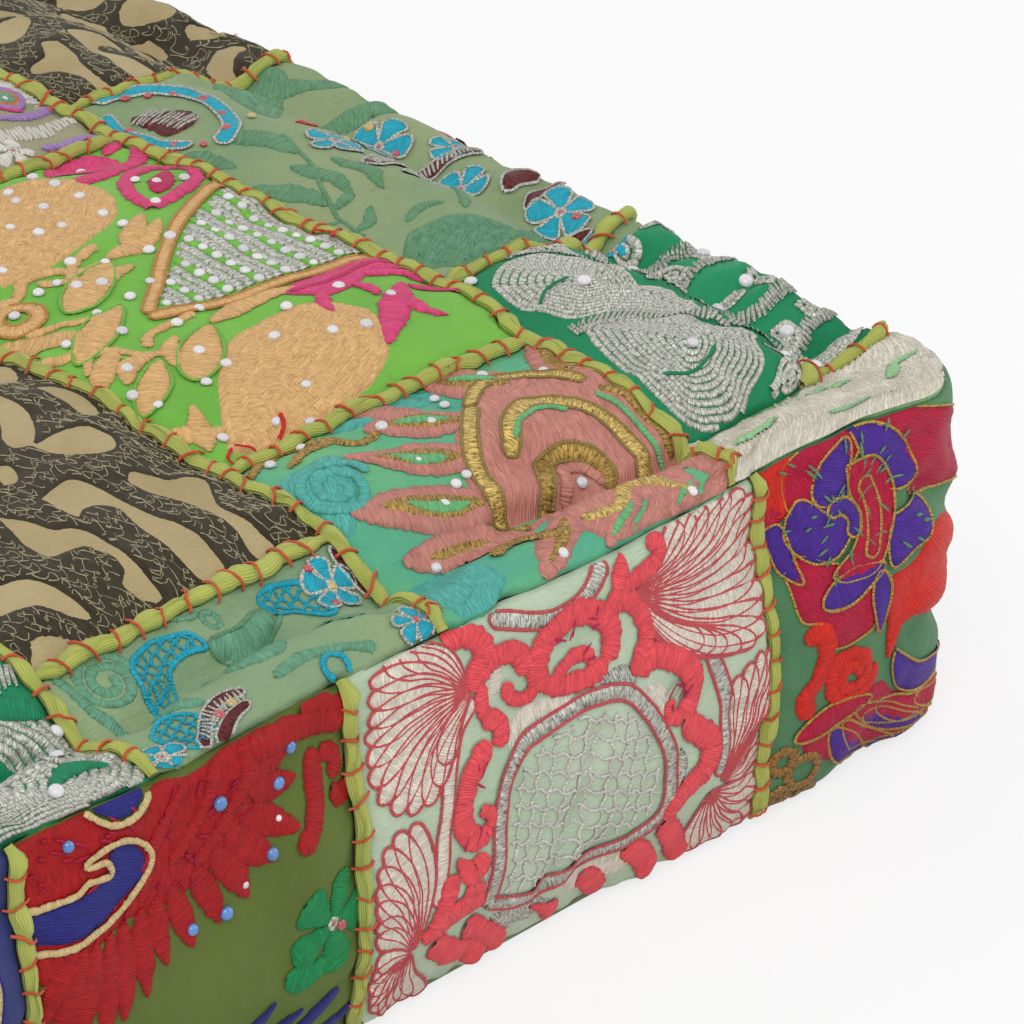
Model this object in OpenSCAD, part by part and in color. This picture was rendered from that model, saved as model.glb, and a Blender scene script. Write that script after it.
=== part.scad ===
// Square patchwork pouf: a wadded floor cushion in a quilted case of embroidered
// patches, with couched yarn cords over the seams and a zip in the underside.
// Millimetres, +Z up. The origin is at the middle of the underside.

/* [Overall] */
// Width of the pouf, left to right
pouf_w = 500; // [460:5:560]
// Depth of the pouf, front to back
pouf_d = 500; // [460:5:560]
// Height from the floor to the crest of the rolled edge
pouf_h = 120; // [100:2:150]
// Rise of the middle of the top above the crest of the rolled edge
crown_h = 7; // [2:0.5:12]

/* [Edges] */
// Corner radius at the crest and the sides, seen from above
corner_r = 35; // [28:1:46]
// What the foot's corner radius has more than the sides' one
foot_corner_extra = 1; // [0:1:20]
// Distance from the crest of the rolled edge to the valley behind it
roll_w = 19; // [15:0.5:24]
// Depth of the valley below the crest
valley_h = 10; // [6:0.5:13]
// How far the crest stands in from the widest part of the side
crest_inset = 9; // [6:0.5:12]
// How far the pinched waist under the roll stands in
waist_inset = 4; // [2:0.5:6]
// How far the foot seam stands in
foot_inset = 8; // [6:0.5:18]
// How far the foot seam clears the floor
foot_lift = 0.4; // [0.2:0.1:0.6]

/* [Cloth] */
// Thickness of the embroidered patches and of the base cloth
cloth_t = 1.2; // [0.8:0.1:1.6]
// Thickness of the lining of the inner case
lining_t = 0.8; // [0.6:0.1:1.2]
// Clearance between one layer and the next
layer_gap = 0.3; // [0.2:0.05:0.4]
// Clearance between neighbouring patches under a cord
seam_gap = 0.5; // [0.3:0.1:0.8]
// Diameter of the couched yarn cords
cord_d = 4.6; // [3.6:0.2:5.6]

/* [Zip] */
// How far each end of the chain of teeth stays from the side
zip_margin = 60; // [56:2:100]
// Width of the slot between the two base panels
zip_slot_w = 18; // [16:0.5:22]
// Height of the underside of the zip tape above the floor
zip_z = 8; // [7.5:0.25:9]
// Thickness of the zip tape
tape_t = 0.6; // [0.5:0.1:0.8]
// How far the tapes lie over the hem at each end of the slot
tape_land = 4; // [3:0.5:6]
// Thickness of the chain of teeth
chain_t = 2.4; // [2.2:0.1:2.6]
// Distance from one tooth to the next on the same tape
tooth_pitch = 4; // [3.6:0.1:5]
// How far a tooth reaches past the middle of the chain
tooth_bite = 0.9; // [0.6:0.1:1]
// Reach of a tooth from the middle of the chain to its tape
tooth_reach = 2.4; // [2.2:0.1:2.6]
// Length of the slider
slider_len = 14; // [12:0.5:18]
// Width of the slider
slider_w = 9.4; // [9:0.2:10.4]
// Thickness of each plate of the slider
slider_plate_t = 1.2; // [1:0.1:1.3]
// Running clearance of the slider and of the pull
run_gap = 0.3; // [0.2:0.05:0.35]
// Length of the pull from its bar to its tip
pull_len = 22; // [19:1:25]
// Width of the pull
pull_w = 8; // [7.5:0.5:10]
// Thickness of the pull
pull_t = 1.2; // [1:0.1:1.3]
// Width of the bridge that holds the pull
bridge_w = 2.4; // [2:0.2:3]

/* [Hidden] */
// Lines across the roll, as shares of roll_w in from the crest, and the dip there
// as shares of valley_h. Past the last one the top is level but for its crown.
roll_line_shares = [0, 0.4, 1, 1.6, 2.4];
roll_dip_shares = [0, 0.2, 1, 0.7, 0.1];
roll_end_share = 3.2;

// Levels down the side from the crest to the foot, as shares of pouf_h, with the
// insets there, the share of foot_corner_extra in the corner radius, and which
// way each level moves when the surface is offset inwards.
side_height_shares = [1, 0.94, 0.82, 0.52, 0.2];
side_heights = concat([for (share = side_height_shares) share * pouf_h], [foot_lift]);
side_insets = [crest_inset, crest_inset / 3, waist_inset, 0, foot_inset / 4, foot_inset];
side_corner_shares = [0, 0, 0, 0.2, 0.6, 1];
side_drop_shares = [1, 0.5, 0, 0, -0.3, -1];
side_levels = len(side_heights);

// Longest step between two lines of a surface, as shares of half a side
top_step_share = 0.191;
side_step_share = 0.29;
cord_step_share = 0.166;
cord_sides = 6;
cord_lift = cord_d / 2 + layer_gap;

crest_x = pouf_w / 2 - crest_inset;
crest_y = pouf_d / 2 - crest_inset;
// Two lines nearer than this are one line
tiny = 0.004;
overrun = 1;

// Seams of the top. Columns run front to back between these shares of the half
// width, and each column has its own cross seams at these shares of the half depth.
column_shares = [-1, -0.69, -0.3, 0.146, 0.635, 1];
row_shares = [
    [-1, -0.62, -0.1, 0.42, 1],
    [-1, -0.46, 0.02, 0.55, 1],
    [-1, -0.83, -0.25, 0.28, 0.7, 1],
    [-1, -0.658, 0.084, 0.54, 1],
    [-1, -0.908, -0.505, 0.184, 0.62, 1]
];

sage = "#93a876";
emerald = "#1d8f62";
lime = "#86cf4b";
mint = "#a9cfa0";
beige = "#cbbf8f";
olive = "#6d8a32";
jade = "#63b878";
linen = "#d8d6c0";
indigo = "#3b3f8c";
crimson = "#b51f35";
yarn = "#a6b457";

// Top patches: name, column, row, colour
TOP_PATCHES = [
    ["top_1a_emerald_paisley", 0, 0, emerald],
    ["top_1b_jade_lotus", 0, 1, jade],
    ["top_1c_sage_blossom", 0, 2, sage],
    ["top_1d_beige_scroll", 0, 3, beige],
    ["top_2a_silver_paisley", 1, 0, emerald],
    ["top_2b_gold_lime", 1, 1, lime],
    ["top_2c_mint_medallion", 1, 2, mint],
    ["top_2d_sage_lattice", 1, 3, sage],
    ["top_3a_sage_lattice", 2, 0, sage],
    ["top_3b_beige_scroll", 2, 1, beige],
    ["top_3c_jade_lotus", 2, 2, jade],
    ["top_3d_crimson_rose", 2, 3, crimson],
    ["top_3e_emerald_paisley", 2, 4, emerald],
    ["top_4a_jade_lotus", 3, 0, jade],
    ["top_4b_gold_lime", 3, 1, lime],
    ["top_4c_linen_lace", 3, 2, linen],
    ["top_4d_sage_blossom", 3, 3, sage],
    ["top_5a_white_band", 4, 0, linen],
    ["top_5b_silver_paisley", 4, 1, emerald],
    ["top_5c_sage_blossom", 4, 2, sage],
    ["top_5d_beige_scroll", 4, 3, beige],
    ["top_5e_gold_lime", 4, 4, lime]
];

// Side patches, going round from the front: name, side and place of the seam where
// the patch starts, side and place of the one where it ends, colour. Sides are
// 0 front, 1 right, 2 back, 3 left, and a place is a share of the half side.
SIDE_PATCHES = [
    ["side_front_red_wing", 0, -0.49, 0, -0.012, olive],
    ["side_front_coral_medallion", 0, -0.012, 0, 0.653, mint],
    ["side_corner_crimson_rose", 0, 0.653, 1, -0.8, crimson],
    ["side_right_sage_blossom", 1, -0.8, 1, -0.25, sage],
    ["side_right_gold_lime", 1, -0.25, 1, 0.3, lime],
    ["side_right_coral_medallion", 1, 0.3, 1, 0.86, mint],
    ["side_corner_emerald_paisley", 1, 0.86, 2, -0.55, emerald],
    ["side_back_red_wing", 2, -0.55, 2, 0.02, olive],
    ["side_back_crimson_rose", 2, 0.02, 2, 0.58, crimson],
    ["side_corner_jade_lotus", 2, 0.58, 3, -0.82, jade],
    ["side_left_coral_medallion", 3, -0.82, 3, -0.24, mint],
    ["side_left_beige_scroll", 3, -0.24, 3, 0.33, beige],
    ["side_left_sage_lattice", 3, 0.33, 3, 0.86, sage],
    ["side_corner_indigo_daisy", 3, 0.86, 0, -0.49, indigo]
];

COLUMN_CORDS = ["cord_column_1", "cord_column_2", "cord_column_3", "cord_column_4"];
ROW_CORDS = ["cords_across_1", "cords_across_2", "cords_across_3", "cords_across_4",
    "cords_across_5"];

// Vectors and lists

function unit(v) = v / norm(v);
function flat(lists) = [for (list = lists) for (item = list) item];
function last(list) = list[len(list) - 1];

// Line positions from a to b, with those of fixed that lie between them, and then
// more so that no step is over the given one.
function lines(a, b, fixed, step) =
    let (knots = concat([a], [for (f = fixed) if (f > a + tiny && f < b - tiny) f], [b]))
    concat(
        [for (i = [0:len(knots) - 2])
            let (span = knots[i + 1] - knots[i], n = ceil(span / step))
            for (j = [0:n - 1]) knots[i] + span * j / n],
        [b]
    );

// Lines that every surface has near both ends of a side of half length h
function edge_lines(h) =
    let (n = len(roll_line_shares))
    concat(
        [for (i = [1:n - 1]) roll_line_shares[i] * roll_w / h - 1],
        [for (i = [n - 1:-1:1]) 1 - roll_line_shares[i] * roll_w / h]
    );

// The quilted surface

// Length of the crest from the middle of a side to the middle of its corner
function crest_run(half_len) = half_len - corner_r + PI * corner_r / 4;

// A point on one side of a rounded rectangle: how far along it and how far out.
// Place t runs from -1 to 1, and its straight part keeps the scale that run gives.
function side_point(half_len, half_out, r, run, t) =
    let (
        s = t * run,
        straight = half_len - r,
        turn = 45 * (abs(s) - straight) / (run - straight)
    )
    turn <= 0
        ? [s, half_out]
        : [sign(s) * (straight + r * sin(turn)), half_out - r + r * cos(turn)];

// The same in plan, on side 0 front, 1 right, 2 back or 3 left
function ring_xy(hx, hy, r, run_x, run_y, side, t) =
    let (p = side % 2 == 0 ? side_point(hx, hy, r, run_x, t) : side_point(hy, hx, r, run_y, t))
    side == 0 ? [p[0], -p[1]]
    : side == 1 ? [p[1], p[0]]
    : side == 2 ? [-p[0], p[1]]
    : [-p[1], -p[0]];

// Plan of the point u, v of the top, both from -1 to 1. At the crest the outline
// steps in by shrink.
function top_xy(u, v, shrink) =
    let (
        m = max(abs(u), abs(v)),
        step_in = m > 1 - tiny / 10 ? shrink : 0,
        r = corner_r * m * m * m,
        spare = r - PI * r / 4,
        hx = crest_x * m,
        hy = crest_y * m,
        front_or_back = abs(v) >= abs(u),
        side = front_or_back ? (v < 0 ? 0 : 2) : (u > 0 ? 1 : 3),
        t = front_or_back ? (v < 0 ? 1 : -1) * u / m : (u > 0 ? 1 : -1) * v / m
    )
    m == 0 ? [0, 0]
    : ring_xy(hx - step_in, hy - step_in, r - step_in, hx - spare, hy - spare, side, t);

roll_table = concat(
    [for (i = [0:len(roll_line_shares) - 1])
        [roll_line_shares[i] * roll_w, -roll_dip_shares[i] * valley_h]],
    [[roll_end_share * roll_w, 0]]
);

function top_z(u, v) =
    pouf_h
    + lookup(min((1 - abs(u)) * crest_x, (1 - abs(v)) * crest_y), roll_table)
    + crown_h * (1 - pow(abs(u), 3)) * (1 - pow(abs(v), 3));

function top_point(u, v, offset, gap = 0) =
    let (xy = top_xy(u, v, offset + gap))
    [xy[0], xy[1], top_z(u, v) - offset];

function side_surface_point(side, t, level, offset) =
    let (
        inset = side_insets[level] + offset,
        r = corner_r + foot_corner_extra * side_corner_shares[level] - offset,
        xy = ring_xy(pouf_w / 2 - inset, pouf_d / 2 - inset, r, crest_run(crest_x),
            crest_run(crest_y), side, t)
    )
    [xy[0], xy[1], side_heights[level] - side_drop_shares[level] * offset];

// Two triangles for the four points a, b, c, d, split along a fold that runs out
// to the corner of the pouf
function quad(points, a, b, c, d) =
    let (middle = points[a] + points[c])
    middle[0] * middle[1] < 0 ? [[a, b, d], [b, c, d]] : [[a, b, c], [a, c, d]];

// The same triangles k points further on, facing the other way
function under(triangles, k) = [for (t = triangles) [k + t[0], k + t[2], k + t[1]]];

// A closed sheet between an outer and an inner grid of points. Seen from outside,
// the first index goes to the right and the second one up.
module sheet(outer, inner) {
    n = len(outer);
    m = len(outer[0]);
    k = n * m;
    points = concat(flat(outer), flat(inner));
    faces = concat(
        flat([for (i = [0:n - 2], j = [0:m - 2])
            let (a = i * m + j, q = quad(points, a, a + 1, a + m + 1, a + m))
            concat(q, under(q, k))]),
        flat([for (i = [0:n - 2])
            let (a = i * m, b = a + m, c = a + m - 1, d = b + m - 1)
            [[a, b, k + b], [a, k + b, k + a], [k + c, k + d, d], [k + c, d, c]]]),
        flat([for (j = [0:m - 2])
            let (a = j, b = j + 1, c = (n - 1) * m + j, d = c + 1)
            [[b, a, k + a], [b, k + a, k + b], [k + d, k + c, c], [k + d, c, d]]])
    );
    polyhedron(points = points, faces = faces);
}

// Places round the whole side, as [side, place], on the given lines
function loop_places(ul, vl) = concat(
    [for (i = [0:len(ul) - 2]) [0, ul[i]]],
    [for (j = [0:len(vl) - 2]) [1, vl[j]]],
    [for (i = [0:len(ul) - 2]) [2, ul[i]]],
    [for (j = [0:len(vl) - 2]) [3, vl[j]]]
);

// Whole-cushion lines in both directions, the same seen from both ends
whole_u = lines(-1, 1, edge_lines(crest_x), top_step_share);
whole_v = lines(-1, 1, edge_lines(crest_y), top_step_share);

// Patches

module top_patch(patch) {
    half_seam = seam_gap / 2;
    u0 = column_shares[patch[1]];
    u1 = column_shares[patch[1] + 1];
    rows = row_shares[patch[1]];
    v0 = rows[patch[2]];
    v1 = rows[patch[2] + 1];
    ul = lines(u0 + (u0 > -1 ? half_seam / crest_x : 0), u1 - (u1 < 1 ? half_seam / crest_x : 0),
        edge_lines(crest_x), top_step_share);
    vl = lines(v0 + (v0 > -1 ? half_seam / crest_y : 0), v1 - (v1 < 1 ? half_seam / crest_y : 0),
        edge_lines(crest_y), top_step_share);
    color(patch[3]) sheet(
        [for (u = ul) [for (v = vl) top_point(u, v, 0, seam_gap)]],
        [for (u = ul) [for (v = vl) top_point(u, v, cloth_t, seam_gap)]]
    );
}

function half_side(side) = side % 2 == 0 ? crest_x : crest_y;

function side_lines(side, a, b) =
    [for (t = lines(a, b, edge_lines(half_side(side)), side_step_share)) [side, t]];

// Places of a side patch, which may go round the corner at the end of its first side
function patch_places(patch) =
    let (
        trim = seam_gap / 2 / half_side(patch[1]),
        a = patch[2] + trim,
        b = patch[4] - trim
    )
    patch[1] == patch[3]
        ? side_lines(patch[1], a, b)
        : let (first = side_lines(patch[1], a, 1), second = side_lines(patch[3], -1, b))
        concat(first, [for (i = [1:len(second) - 1]) second[i]]);

module side_patch(patch) {
    places = patch_places(patch);
    color(patch[5]) sheet(
        [for (p = places) [for (k = [side_levels - 1:-1:0]) side_surface_point(p[0], p[1], k, 0)]],
        [for (p = places) [for (k = [side_levels - 1:-1:0])
            side_surface_point(p[0], p[1], k, cloth_t)]]
    );
}

// Cords

// A closed tube along path. Each hint points away from what the cord lies on.
module tube(path, hints, r) {
    n = len(path);
    s = cord_sides;
    rings = [for (i = [0:n - 1])
        let (
            along = unit(path[min(i + 1, n - 1)] - path[max(i - 1, 0)]),
            out = unit(hints[i] - (hints[i] * along) * along),
            across = cross(out, along)
        )
        for (k = [0:s - 1])
            let (a = 360 * k / s) path[i] + r * (cos(a) * across + sin(a) * out)];
    faces = concat(
        flat([for (i = [0:n - 2], k = [0:s - 1])
            let (a = i * s + k, b = i * s + (k + 1) % s)
            [[a, a + s, b + s], [a, b + s, b]]]),
        [for (k = [1:s - 2]) [0, k, k + 1]],
        [for (k = [1:s - 2]) let (e = (n - 1) * s) [e, e + k + 1, e + k]]
    );
    polyhedron(points = rings, faces = faces);
}

// Cord centres along a line of surface points, lifted square to the line
function lifted(points, hints) =
    let (n = len(points))
    [for (i = [0:n - 1])
        let (
            along = unit(points[min(i + 1, n - 1)] - points[max(i - 1, 0)]),
            out = unit(hints[i] - (hints[i] * along) * along)
        )
        points[i] + cord_lift * out];

module surface_cord(points, hint) {
    hints = [for (p = points) hint];
    color(yarn) tube(lifted(points, hints), hints, cord_d / 2);
}

up = [0, 0, 1];
side_out = [[0, -1, 0], [1, 0, 0], [0, 1, 0], [-1, 0, 0]];
// A cord stops this far short of the cord that it meets, and of the crest
cord_stop = cord_d / 2 + layer_gap;
crest_stop = cord_d / 2 + seam_gap;

module column_cord(i) {
    u = column_shares[i + 1];
    end = 1 - crest_stop / crest_y;
    vl = lines(-end, end, edge_lines(crest_y), cord_step_share);
    surface_cord([for (v = vl) top_point(u, v, 0)], up);
}

module row_cords(column) {
    u0 = column_shares[column];
    u1 = column_shares[column + 1];
    a = u0 > -1 ? u0 + (cord_stop + cord_d / 2) / crest_x : -1 + crest_stop / crest_x;
    b = u1 < 1 ? u1 - (cord_stop + cord_d / 2) / crest_x : 1 - crest_stop / crest_x;
    ul = lines(a, b, edge_lines(crest_x), cord_step_share);
    rows = row_shares[column];
    for (j = [1:len(rows) - 2])
        surface_cord([for (u = ul) top_point(u, rows[j], 0)], up);
}

// Where a side cord ends, as shares of the way past its lowest and highest level
cord_foot_share = 0.8;
cord_head_share = 0.5;

module side_cords() {
    for (patch = SIDE_PATCHES) {
        levels = [for (k = [side_levels - 1:-1:0]) side_surface_point(patch[1], patch[2], k, 0)];
        n = side_levels;
        surface_cord(
            concat(
                [levels[1] + (levels[0] - levels[1]) * cord_foot_share],
                [for (i = [1:n - 2]) levels[i]],
                [levels[n - 2] + (levels[n - 1] - levels[n - 2]) * cord_head_share]
            ),
            side_out[patch[1]]
        );
    }
}

// Inner case and filling

lining_offset = cloth_t + layer_gap;
filling_offset = lining_offset + lining_t + layer_gap;

module lining_top() {
    color("#e6dfc8") sheet(
        [for (u = whole_u) [for (v = whole_v) top_point(u, v, lining_offset, layer_gap)]],
        [for (u = whole_u) [for (v = whole_v) top_point(u, v, lining_offset + lining_t, layer_gap)]]
    );
}

module lining_boxing() {
    places = loop_places(whole_u, whole_v);
    n = len(places);
    m = side_levels;
    k = n * m;
    points = [for (offset = [lining_offset, lining_offset + lining_t], p = places, j = [m - 1:-1:0])
        side_surface_point(p[0], p[1], j, offset)];
    faces = concat(
        flat([for (i = [0:n - 1], j = [0:m - 2])
            let (a = i * m + j, d = ((i + 1) % n) * m + j, q = quad(points, a, a + 1, d + 1, d))
            concat(q, under(q, k))]),
        flat([for (i = [0:n - 1])
            let (a = i * m, b = ((i + 1) % n) * m, c = a + m - 1, d = b + m - 1)
            [[a, b, k + b], [a, k + b, k + a], [k + c, k + d, d], [k + c, d, c]]])
    );
    color("#e0d8be") polyhedron(points = points, faces = faces);
}

zip_len = pouf_w - 2 * zip_margin;

// The slider's wedge, which parts the teeth
wedge_len = 2.6;
wedge_w = 2.4;

// Channel for the zip in the underside. The slot between the base panels is long
// enough for the pull to swing over at either end of the slider's travel.
tape_overlap = 3;
channel_w = zip_slot_w + 2 * (cloth_t + tape_overlap);
slot_len = zip_len + 2 * (pull_len - slider_len / 2 + wedge_len + 2 * run_gap + cloth_t);
tape_len = slot_len + 2 * (cloth_t + tape_land);
channel_len = tape_len + 2 * layer_gap;
slider_top = zip_z + tape_t / 2 + chain_t / 2 + run_gap + slider_plate_t;
channel_h = slider_top + run_gap + layer_gap;

module lining_base() {
    color("#d9d0b4") {
        difference() {
            foot_plate(filling_offset, lining_offset, lining_t);
            channel_block(0, 0, channel_h);
        }
        difference() {
            channel_block(lining_t, lining_offset, channel_h + lining_t - lining_offset);
            channel_block(0, 0, channel_h);
        }
    }
}

module channel_block(wall, z, height) {
    translate([-channel_len / 2 - wall, -channel_w / 2 - wall, z])
        cube([channel_len + 2 * wall, channel_w + 2 * wall, height]);
}

module filling() {
    nu = len(whole_u);
    nv = len(whole_v);
    top = flat([for (u = whole_u) [for (v = whole_v) top_point(u, v, filling_offset)]]);
    places = loop_places(whole_u, whole_v);
    n = len(places);
    k = nu * nv;
    // The loop of points round the edge of the top, in the order of places
    rim = concat(
        [for (i = [0:nu - 2]) i * nv],
        [for (j = [0:nv - 2]) (nu - 1) * nv + j],
        [for (i = [nu - 1:-1:1]) i * nv + nv - 1],
        [for (j = [nv - 1:-1:1]) j]
    );
    sides = [for (level = [1:side_levels - 1], p = places)
        side_surface_point(p[0], p[1], level, filling_offset)];
    foot = last(sides);
    points = concat(top, sides, [[0, 0, foot[2]]]);
    faces = concat(
        flat([for (i = [0:nu - 2], j = [0:nv - 2])
            let (a = i * nv + j)
            quad(points, a, a + 1, a + nv + 1, a + nv)]),
        flat([for (i = [0:n - 1])
            let (b = (i + 1) % n)
            quad(points, k + i, rim[i], rim[b], k + b)]),
        flat([for (level = [0:side_levels - 3], i = [0:n - 1])
            let (a = k + level * n + i, b = k + level * n + (i + 1) % n)
            quad(points, a + n, a, b, b + n)]),
        [for (i = [0:n - 1])
            let (ring = k + (side_levels - 2) * n)
            [ring + i, ring + (i + 1) % n, k + (side_levels - 1) * n]]
    );
    color("#f2efe6") difference() {
        polyhedron(points = points, faces = faces);
        channel_block(lining_t + layer_gap, 0, channel_h + lining_t + layer_gap);
    }
}

// Base and zip

// A flat plate inside the foot seam
module foot_plate(offset, z, thickness) {
    hx = pouf_w / 2 - foot_inset - offset;
    hy = pouf_d / 2 - foot_inset - offset;
    r = corner_r + foot_corner_extra - offset;
    translate([0, 0, z]) linear_extrude(thickness) union() {
        square([2 * hx, 2 * (hy - r)], center = true);
        square([2 * (hx - r), 2 * hy], center = true);
        for (x = [-1, 1], y = [-1, 1])
            translate([x * (hx - r), y * (hy - r)]) circle(r, $fn = 96);
    }
}

// A block on the middle of the slot
module slot_block(wall, z, height) {
    translate([-slot_len / 2 - wall, -zip_slot_w / 2 - wall, z])
        cube([slot_len + 2 * wall, zip_slot_w + 2 * wall, height]);
}

// The panel in front of the slot, with a hem turned up round its half of the slot
module base_panel() {
    color(sage) difference() {
        union() {
            foot_plate(cloth_t + layer_gap, 0, cloth_t);
            slot_block(cloth_t, 0, zip_z);
        }
        slot_block(0, -overrun, zip_z + 2 * overrun);
        translate([-pouf_w / 2, -seam_gap / 2, -overrun])
            cube([pouf_w, pouf_d, zip_z + 2 * overrun]);
    }
}

module zip_tape() {
    tape_w = (channel_w - layer_gap) / 2 - tooth_reach;
    color("#4f6b3a") translate([-tape_len / 2, -tooth_reach - tape_w, zip_z])
        cube([tape_len, tape_w, tape_t]);
}

tooth_len = tooth_pitch / 2 - run_gap;
teeth = floor((zip_len - tooth_len) / tooth_pitch);

module zip_teeth(phase) {
    color("#6f7f4a")
        for (i = [0:teeth - 1])
            translate([zip_len / 2 - (i + 1 + phase) * tooth_pitch + tooth_len, -tooth_reach,
                zip_z + tape_t / 2 - chain_t / 2])
                cube([tooth_len, tooth_reach + tooth_bite, chain_t]);
}

stop_len = 3;
stop_t = 1.1;
stop_w = 3;

module zip_stops() {
    color("#b9a25a") {
        for (y = [-1, 1])
            translate([slider_x + slider_len / 2 + run_gap, y * (slider_w - stop_w) / 2 - stop_w / 2,
                zip_z - stop_t])
                cube([stop_len, stop_w, stop_t]);
        translate([-zip_len / 2 - stop_len - run_gap, -slider_w / 2, zip_z - stop_t])
            cube([stop_len, slider_w, stop_t]);
    }
}

// Slider, at the closed end of the chain
chain_z = zip_z + tape_t / 2;
slider_x = zip_len / 2 - slider_len / 2 + wedge_len + 2 * run_gap;
plate_gap = chain_t + 2 * run_gap;
flange_w = 1.1;
flange_t = (plate_gap - tape_t) / 2 - run_gap;
bridge_t = 1;
bar_d = 1.4;
bar_z = chain_z - plate_gap / 2 - slider_plate_t - run_gap - bar_d / 2;
bar_play = 3.4;
bridge_eye_len = bar_d + bar_play;
bridge_drop = slider_plate_t + 2 * run_gap + bar_d + bridge_t;

module zip_slider() {
    low = chain_z - plate_gap / 2 - slider_plate_t;
    high = chain_z + plate_gap / 2;
    color("#b9a25a") translate([slider_x, 0, 0]) union() {
        for (z = [low, high])
            translate([-slider_len / 2, -slider_w / 2, z])
                cube([slider_len, slider_w, slider_plate_t]);
        for (y = [-slider_w / 2, slider_w / 2 - flange_w], z = [low + slider_plate_t, high - flange_t])
            translate([-slider_len / 2, y, z])
                cube([slider_len, flange_w, flange_t]);
        translate([slider_len / 2 - wedge_len, -wedge_w / 2, low + slider_plate_t])
            cube([wedge_len, wedge_w, plate_gap]);
        difference() {
            translate([-bridge_eye_len / 2 - bridge_t, -bridge_w / 2, low + slider_plate_t - bridge_drop])
                cube([bridge_eye_len + 2 * bridge_t, bridge_w, bridge_drop - slider_plate_t]);
            translate([-bridge_eye_len / 2, -bridge_w / 2 - overrun,
                low + slider_plate_t - bridge_drop + bridge_t])
                cube([bridge_eye_len, bridge_w + 2 * overrun, bridge_drop - slider_plate_t]);
        }
    }
}

window_w = bridge_w + 4 * run_gap;
window_len = bridge_eye_len / 2 + bridge_t + 2 * run_gap + bar_d;
pull_hole_d = 3.4;

module zip_pull() {
    color("#c7b06a") translate([slider_x, 0, bar_z]) difference() {
        union() {
            translate([-pull_len + pull_w / 2, 0, 0])
                cylinder(h = pull_t, r = pull_w / 2, center = true, $fn = 64);
            translate([-pull_len + pull_w / 2, -pull_w / 2, -pull_t / 2])
                cube([pull_len - pull_w / 2, pull_w, pull_t]);
            rotate([90, 0, 0]) cylinder(h = pull_w, r = bar_d / 2, center = true, $fn = 48);
        }
        translate([-window_len, -window_w / 2, -bar_d])
            cube([window_len - bar_d / 2, window_w, 2 * bar_d]);
        translate([-pull_len + pull_w / 2, 0, 0])
            cylinder(h = 2 * pull_t, r = pull_hole_d / 2, center = true, $fn = 48);
    }
}

for (patch = TOP_PATCHES)
    top_patch(patch);
for (patch = SIDE_PATCHES)
    side_patch(patch);
for (i = [0:len(COLUMN_CORDS) - 1])
    column_cord(i);
for (i = [0:len(ROW_CORDS) - 1])
    row_cords(i);
side_cords();
filling();
lining_top();
lining_boxing();
lining_base();
base_panel();  // base_front
mirror([0, 1, 0]) base_panel();  // base_back
zip_tape();  // zip_tape_front
mirror([0, 1, 0]) zip_tape();  // zip_tape_back
zip_teeth(0);  // zip_teeth_front
mirror([0, 1, 0]) zip_teeth(0.5);  // zip_teeth_back
zip_stops();
zip_slider();
zip_pull();
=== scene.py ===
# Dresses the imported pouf: quilted patches, embroidery, couched cords, zip and stage.
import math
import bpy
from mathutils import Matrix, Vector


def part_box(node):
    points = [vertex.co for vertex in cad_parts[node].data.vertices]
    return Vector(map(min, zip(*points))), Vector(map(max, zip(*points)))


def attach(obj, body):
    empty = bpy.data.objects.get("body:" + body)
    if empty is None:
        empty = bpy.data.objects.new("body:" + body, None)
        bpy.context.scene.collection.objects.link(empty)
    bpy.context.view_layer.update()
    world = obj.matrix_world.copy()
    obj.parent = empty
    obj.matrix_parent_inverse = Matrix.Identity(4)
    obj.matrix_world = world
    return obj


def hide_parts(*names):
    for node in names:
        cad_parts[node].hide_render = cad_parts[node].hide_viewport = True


bl_info = {
    "name": "Patchwork pouf",
    "version": (1, 0, 0),
    "blender": (4, 5, 0),
    "location": "View3D > Sidebar > Pouf",
    "description": "Dresses a square floor pouf in embroidered patches and couched cords",
    "category": "Add Mesh",
}

from functools import cache, partialmethod

import bmesh
import bpy
import numpy as np
from bpy.props import FloatProperty, FloatVectorProperty, PointerProperty
from mathutils import Vector

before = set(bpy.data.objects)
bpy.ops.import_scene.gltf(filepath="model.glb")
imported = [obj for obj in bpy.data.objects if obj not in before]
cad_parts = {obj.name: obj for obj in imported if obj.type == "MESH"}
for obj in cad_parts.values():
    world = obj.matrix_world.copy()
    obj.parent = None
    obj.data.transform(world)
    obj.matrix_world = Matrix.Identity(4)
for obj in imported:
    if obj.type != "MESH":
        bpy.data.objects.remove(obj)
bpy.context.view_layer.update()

BODY = "pouf"
MM = 0.001

# The patch at the front gives the widest half width and the height of the crest
front_low, front_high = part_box("side_front_coral_medallion")
HALF = -front_low.y / MM
CREST_H = front_high.z / MM

# Seams of the top, as shares of the half width from the crest of one side to the
# other: columns from left to right, and each column's own seams from front to back
COLUMN_SHARES = (-1, -0.69, -0.3, 0.146, 0.635, 1)
ROW_SHARES = (
    (-1, -0.62, -0.1, 0.42, 1),
    (-1, -0.46, 0.02, 0.55, 1),
    (-1, -0.83, -0.25, 0.28, 0.7, 1),
    (-1, -0.658, 0.084, 0.54, 1),
    (-1, -0.908, -0.505, 0.184, 0.62, 1),
)
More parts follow.
